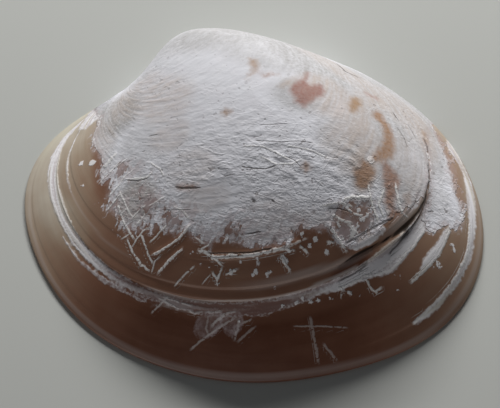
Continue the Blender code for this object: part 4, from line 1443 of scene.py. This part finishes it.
stroke_place = stretched(tree, place, (1.6, 0.8, 1.2), 1.05)
rough_noise = speckle(tree, place, 1.9, 2.0, 0.6)
chalk_edge = placed(
    tree, frayed_edge, place=stroke_place, depth=chalk_at, fray=torn_at, softness=0.09)
net = placed(tree, wrinkles, place=place)["Mask"]
net_reach = eased(tree, chalk_edge["Depth"], -1.1, -0.3)
crumb_mask = eased(tree, maths(tree, "ADD", crumb_at, centred(tree, rough_noise, 0.9)), -0.06, 0.10)
chalk_mask = strongest(tree, chalk_edge["Mask"], product(tree, net, net_reach), crumb_mask)
film_fray = eased(tree, film_white_at, 0.40, 0.80, 0.32, 0.05)
film_edge = placed(tree, frayed_edge, place=place, depth=film_at, fray=film_fray, softness=0.22)
film_mask = film_edge["Mask"]
stain_edge = placed(tree, frayed_edge, place=place, depth=stain_at, fray=0.20, softness=0.75)

stain_mask = product(
    tree, stain_edge["Mask"], stain_strength_at, scaled(tree, rough_noise, -0.7, 1.3))
scratch_width = scaled(tree, rough_noise, -1.2, 1.38)
scratch_wander = centred(tree, speckle(tree, place, 0.9, 1.0, 0.5), 2.2)
layers = []
for number in range(len(scratch_fields)):
    side, strength, _ = stored(tree, f"scratch_{number}")
    side = maths(tree, "ADD", side, scratch_wander)
    away = product(tree, maths(tree, "ABSOLUTE", side), scratch_width)
    layers.append(product(tree, eased(tree, away, 0.40, 1.20, 1.0, 0.0), strength))
scratched = product(tree, strongest(tree, 0.0, *layers), eased(tree, rough_noise, 0.32, 0.44))
grooved = strongest(tree, *[product(tree, layer, -1.0) for layer in layers], 0.0)
print("nodes for the masks:", len(tree.nodes))

# %% Colour of the worn shell
blotches = speckle(tree, place, 0.16, 3.0, 0.55)
depth = brown_depth
for pattern, reach in ((lines["Broad"], 0.12), (blotches, 0.20), (lines["Fine"], 0.06)):
    depth = maths(tree, "ADD", depth, centred(tree, pattern, reach))
colour = ramp(tree, depth, BROWN_BY_DEPTH)
# pale lines: painted highlight along the margin and the main ledge, pale bands of the shell elsewhere
colour = mixed(tree, product(tree, pale_line_at, 0.72), colour, PALE_LINE_AND_HIGHLIGHT)

streaks = eased(tree, scaled(tree, rough_noise, 0.4, lines["Fine"]), 0.52, 0.88)
whiteness = maths(tree, "ADD", film_white_at, centred(tree, streaks, 0.75), clamp=True)
film_colour = mixed(tree, eased(tree, lines["Broad"], 0.34, 0.48), FILM_WARM, FILM_PALE)
film_colour = mixed(tree, whiteness, FILM_BARE, film_colour)
film_cover = product(tree, film_mask, eased(tree, film_white_at, 0.1, 0.7, 0.50, 0.97))
colour = mixed(tree, film_cover, colour, film_colour)
# painted highlight along the inner rim of the film's frayed edge
film_rim = product(
    tree, film_edge["Rim"], eased(tree, film_white_at, 0.5, 0.8, 0.45, 0.25),
    eased(tree, rough_noise, 0.40, 0.56))
colour = mixed(tree, film_rim, colour, HIGHLIGHT_AND_CHALK_WHITE)

veil = maths(tree, "ADD", veil_at, centred(tree, rough_noise, 2.0))
veil = eased(tree, veil, -1.0, 0.55, 0.0, 0.85)
veil_holes = speckle(tree, stroke_place, 0.35, 2.0, 0.5)
veil = product(tree, veil, eased(tree, veil_holes, 0.38, 0.60, 0.35, 1.0))
colour = mixed(tree, veil, colour, VEIL)
cloud = eased(tree, speckle(tree, place, 0.33, 3.0, 0.55), 0.40, 0.62)
grain = placed(
    tree, chalk_grain, place=place, fine_lines=lines["Fine"], wrinkles=net, crumble=crumble_at)
chalk_colour = mixed(tree, eased(tree, size, 0.18, 0.62), CHALK_OLD, CHALK_YOUNG)
chalk_colour = mixed(tree, product(tree, cloud, 0.55), chalk_colour, CHALK_CLOUDED)
greying = scaled(tree, rough_noise, 0.7, scaled(tree, streaks, 0.20, 0.36))
chalk_colour = mixed(tree, product(tree, dull_at, greying), chalk_colour, CHALK_DULL)
tint = product(tree, warm_at, scaled(tree, streaks, 0.50, 0.40), 0.72)
chalk_colour = mixed(tree, tint, chalk_colour, CHALK_WARM)
thin = eased(tree, chalk_edge["Depth"], 0.1, 1.2, 0.55, 0.0)
thin = product(tree, thin, eased(tree, rough_noise, 0.50, 0.60, 1.0, 0.0))
chalk_colour = mixed(tree, thin, chalk_colour, CHALK_THIN)
# painted highlight along the inner rim of the chalk's frayed edge; the same white colours the real
# crumbs and lightens the wrinkles
chalk_rim = product(tree, chalk_edge["Rim"], eased(tree, rough_noise, 0.42, 0.60, 0.0, 0.7))
chalk_colour = mixed(tree, chalk_rim, chalk_colour, HIGHLIGHT_AND_CHALK_WHITE)
chalk_colour = mixed(tree, product(tree, net, 0.12), chalk_colour, HIGHLIGHT_AND_CHALK_WHITE)
through = eased(tree, speckle(tree, stroke_place, 0.8, 2.0, 0.55), 0.49, 0.58, 0.0, 0.5)
through = product(
    tree, through, eased(tree, torn_at, 0.9, 1.8),
    eased(tree, chalk_edge["Depth"], 1.5, 5.5, 1.0, 0.15))
chalk_colour = mixed(tree, through, chalk_colour, VEIL)
chalk_colour = mixed(tree, crumb_mask, chalk_colour, HIGHLIGHT_AND_CHALK_WHITE)
# painted shade in the pits that the grain sinks
chalk_colour = mixed(tree, product(tree, grain["Pits"], 0.5), chalk_colour, CHALK_PIT_SHADE)
colour = mixed(tree, chalk_mask, colour, chalk_colour)

colour = mixed(tree, stain_mask, colour, mixed(tree, stain_red_at, STAIN_TAN, STAIN_RED))
colour = mixed(tree, scratched, colour, SCRATCH_WHITE)
# painted shade: the crack and the grooves are coloured near black, as if their walls shaded them
crack_mask = product(tree, eased(tree, crack_at, -0.08, 0.10), 0.92)
colour = mixed(tree, strongest(tree, crack_mask, product(tree, grooved, 0.85)), colour, CRACK_AND_GROOVE_SHADE)
wire(tree, colour, shader.inputs["Base Color"])

# %% Gloss and relief of the worn shell
white = strongest(tree, chalk_mask, scratched, product(tree, film_mask, 0.6))
white = product(tree, white, scaled(tree, stain_mask, -0.4, 1.0))
wire(tree, eased(tree, white, 0.0, 1.0, 0.40, 0.88), shader.inputs["Roughness"])
shader.inputs["Specular IOR Level"].default_value = 0.30

height = product(tree, grain["Height"], chalk_edge["Mask"])
for mask, tall in (
    (chalk_mask, -0.03), (lines["Fine"], 0.018), (film_mask, scaled(tree, streaks, 0.05, 0.02)),
    (scratched, 0.10), (crumb_mask, 0.09), (grooved, -0.08),
):
    height = scaled(tree, mask, tall, height)
show_relief(tree, height, shader)
mesh.materials.append(worn)
print("nodes in the worn shell:", len(tree.nodes))

# %% [markdown]
# ## The porcelain inside
# The inside is smooth and white with a faint sheen, as it is in most clams of this kind. The scars
# are a little glossier and warmer. The photograph doesn't show the inside, so it is kept plain.

# %% The inside
PORCELAIN_WARM, PORCELAIN_WHITE = (0.70, 0.64, 0.59), (0.78, 0.755, 0.725)
SCAR_WARM = (0.60, 0.50, 0.44)
porcelain, tree, shader = new_material("porcelain_inside")
place = in_millimetres(tree)
cloud = speckle(tree, place, 0.12, 3.0, 0.5)
scar_at, line_side_at, line_seen_at = stored(tree, "scars")
edge_noise = centred(tree, speckle(tree, place, 0.8, 2.0, 0.5), 0.8)
scarred = eased(tree, maths(tree, "ADD", scar_at, edge_noise), -0.15, 0.35)
line_away = maths(tree, "ABSOLUTE", maths(tree, "ADD", line_side_at, edge_noise))
line_mask = product(tree, eased(tree, line_away, 0.2, 0.7, 0.7, 0.0), line_seen_at)
marked = strongest(tree, scarred, line_mask)
colour = mixed(tree, eased(tree, cloud, 0.35, 0.65), PORCELAIN_WARM, PORCELAIN_WHITE)
colour = mixed(tree, product(tree, marked, 0.55), colour, SCAR_WARM)
wire(tree, colour, shader.inputs["Base Color"])
gloss = eased(tree, cloud, 0.3, 0.7, 0.30, 0.46)
wire(tree, scaled(tree, marked, -0.14, gloss), shader.inputs["Roughness"])
striae = speckle(tree, stretched(tree, place, (2.6, 0.55, 1.5), 0.25), 1.0, 1.0, 0.5)
height = product(tree, speckle(tree, place, 0.5, 3.0, 0.5), 0.06)
height = maths(tree, "ADD", height, product(tree, scarred, striae, 0.05))
show_relief(tree, height, shader)
mesh.materials.append(porcelain)

# %% [markdown]
# ## Paper, light and camera
# The valve lies on pale, slightly green paper. One long soft light stands low behind it, as a
# window would, so that the top is bright, every small ridge casts a fine shadow and the front is
# dark. A weak one in front keeps the brown there from going black.

# %% Paper
PAPER_SIDE, PAPER_COLOUR, PAPER_ROUGHNESS = 1.6, (0.555, 0.565, 0.545, 1), 0.85
paper, _, shader = new_material("pale_paper")
shader.inputs["Base Color"].default_value = PAPER_COLOUR
shader.inputs["Roughness"].default_value = PAPER_ROUGHNESS
floor_bm = bmesh.new()
bmesh.ops.create_grid(floor_bm, x_segments=1, y_segments=1, size=PAPER_SIDE / 2)
floor = as_object("paper", floor_bm)
floor.data.materials.append(paper)

# %% Light
# name, place, length and height in m, watts, colour
LIGHTS = [
    ("window", (0.064, 0.421, 0.252), 0.42, 0.06, 3.1, (1.0, 0.995, 0.97)),
    ("reflector", (-0.19, -0.42, 0.062), 0.5, 0.10, 0.44, (1.0, 0.99, 0.98)),
]
ROOM_COLOUR, ROOM_STRENGTH = (0.9, 0.95, 1.0, 1), 0.050
scene = bpy.context.scene
scene.view_settings.view_transform = "Standard"


def soft_light(name, place, size_x, size_y, watts, colour):
    """An area light that faces the valve."""
    data = bpy.data.lights.new(name, "AREA")
    data.shape = "RECTANGLE"
    data.size, data.size_y = size_x, size_y
    data.energy = watts
    data.color = colour
    light = in_scene(name, data)
    light.location = place
    light.rotation_euler = Vector(place).to_track_quat("Z", "Y").to_euler()


for light in LIGHTS:
    soft_light(*light)
world = bpy.data.worlds.new("room")
scene.world = world
world.use_nodes = True
background = world.node_tree.nodes["Background"]
background.inputs["Color"].default_value = ROOM_COLOUR
background.inputs["Strength"].default_value = ROOM_STRENGTH

# %% Camera
CAMERA_RISE, CAMERA_SWING = math.radians(65.39), math.radians(-1.83)
CAMERA_AWAY = 0.4516
LOOK_AT = Vector((-0.0005, 0.0009, 0.0005))
LENS = 185.8

back = Vector((
    math.sin(CAMERA_SWING) * math.cos(CAMERA_RISE),
    -math.cos(CAMERA_SWING) * math.cos(CAMERA_RISE),
    math.sin(CAMERA_RISE),
))
camera_data = bpy.data.cameras.new("camera")
camera_data.lens = LENS
camera_data.sensor_width = 36
camera_data.clip_start = 0.01
camera = in_scene("camera", camera_data)
camera.location = LOOK_AT + CAMERA_AWAY * back
camera.rotation_euler = back.to_track_quat("Z", "Y").to_euler()
scene.camera = camera

# %% Update the scene
bpy.context.view_layer.update()
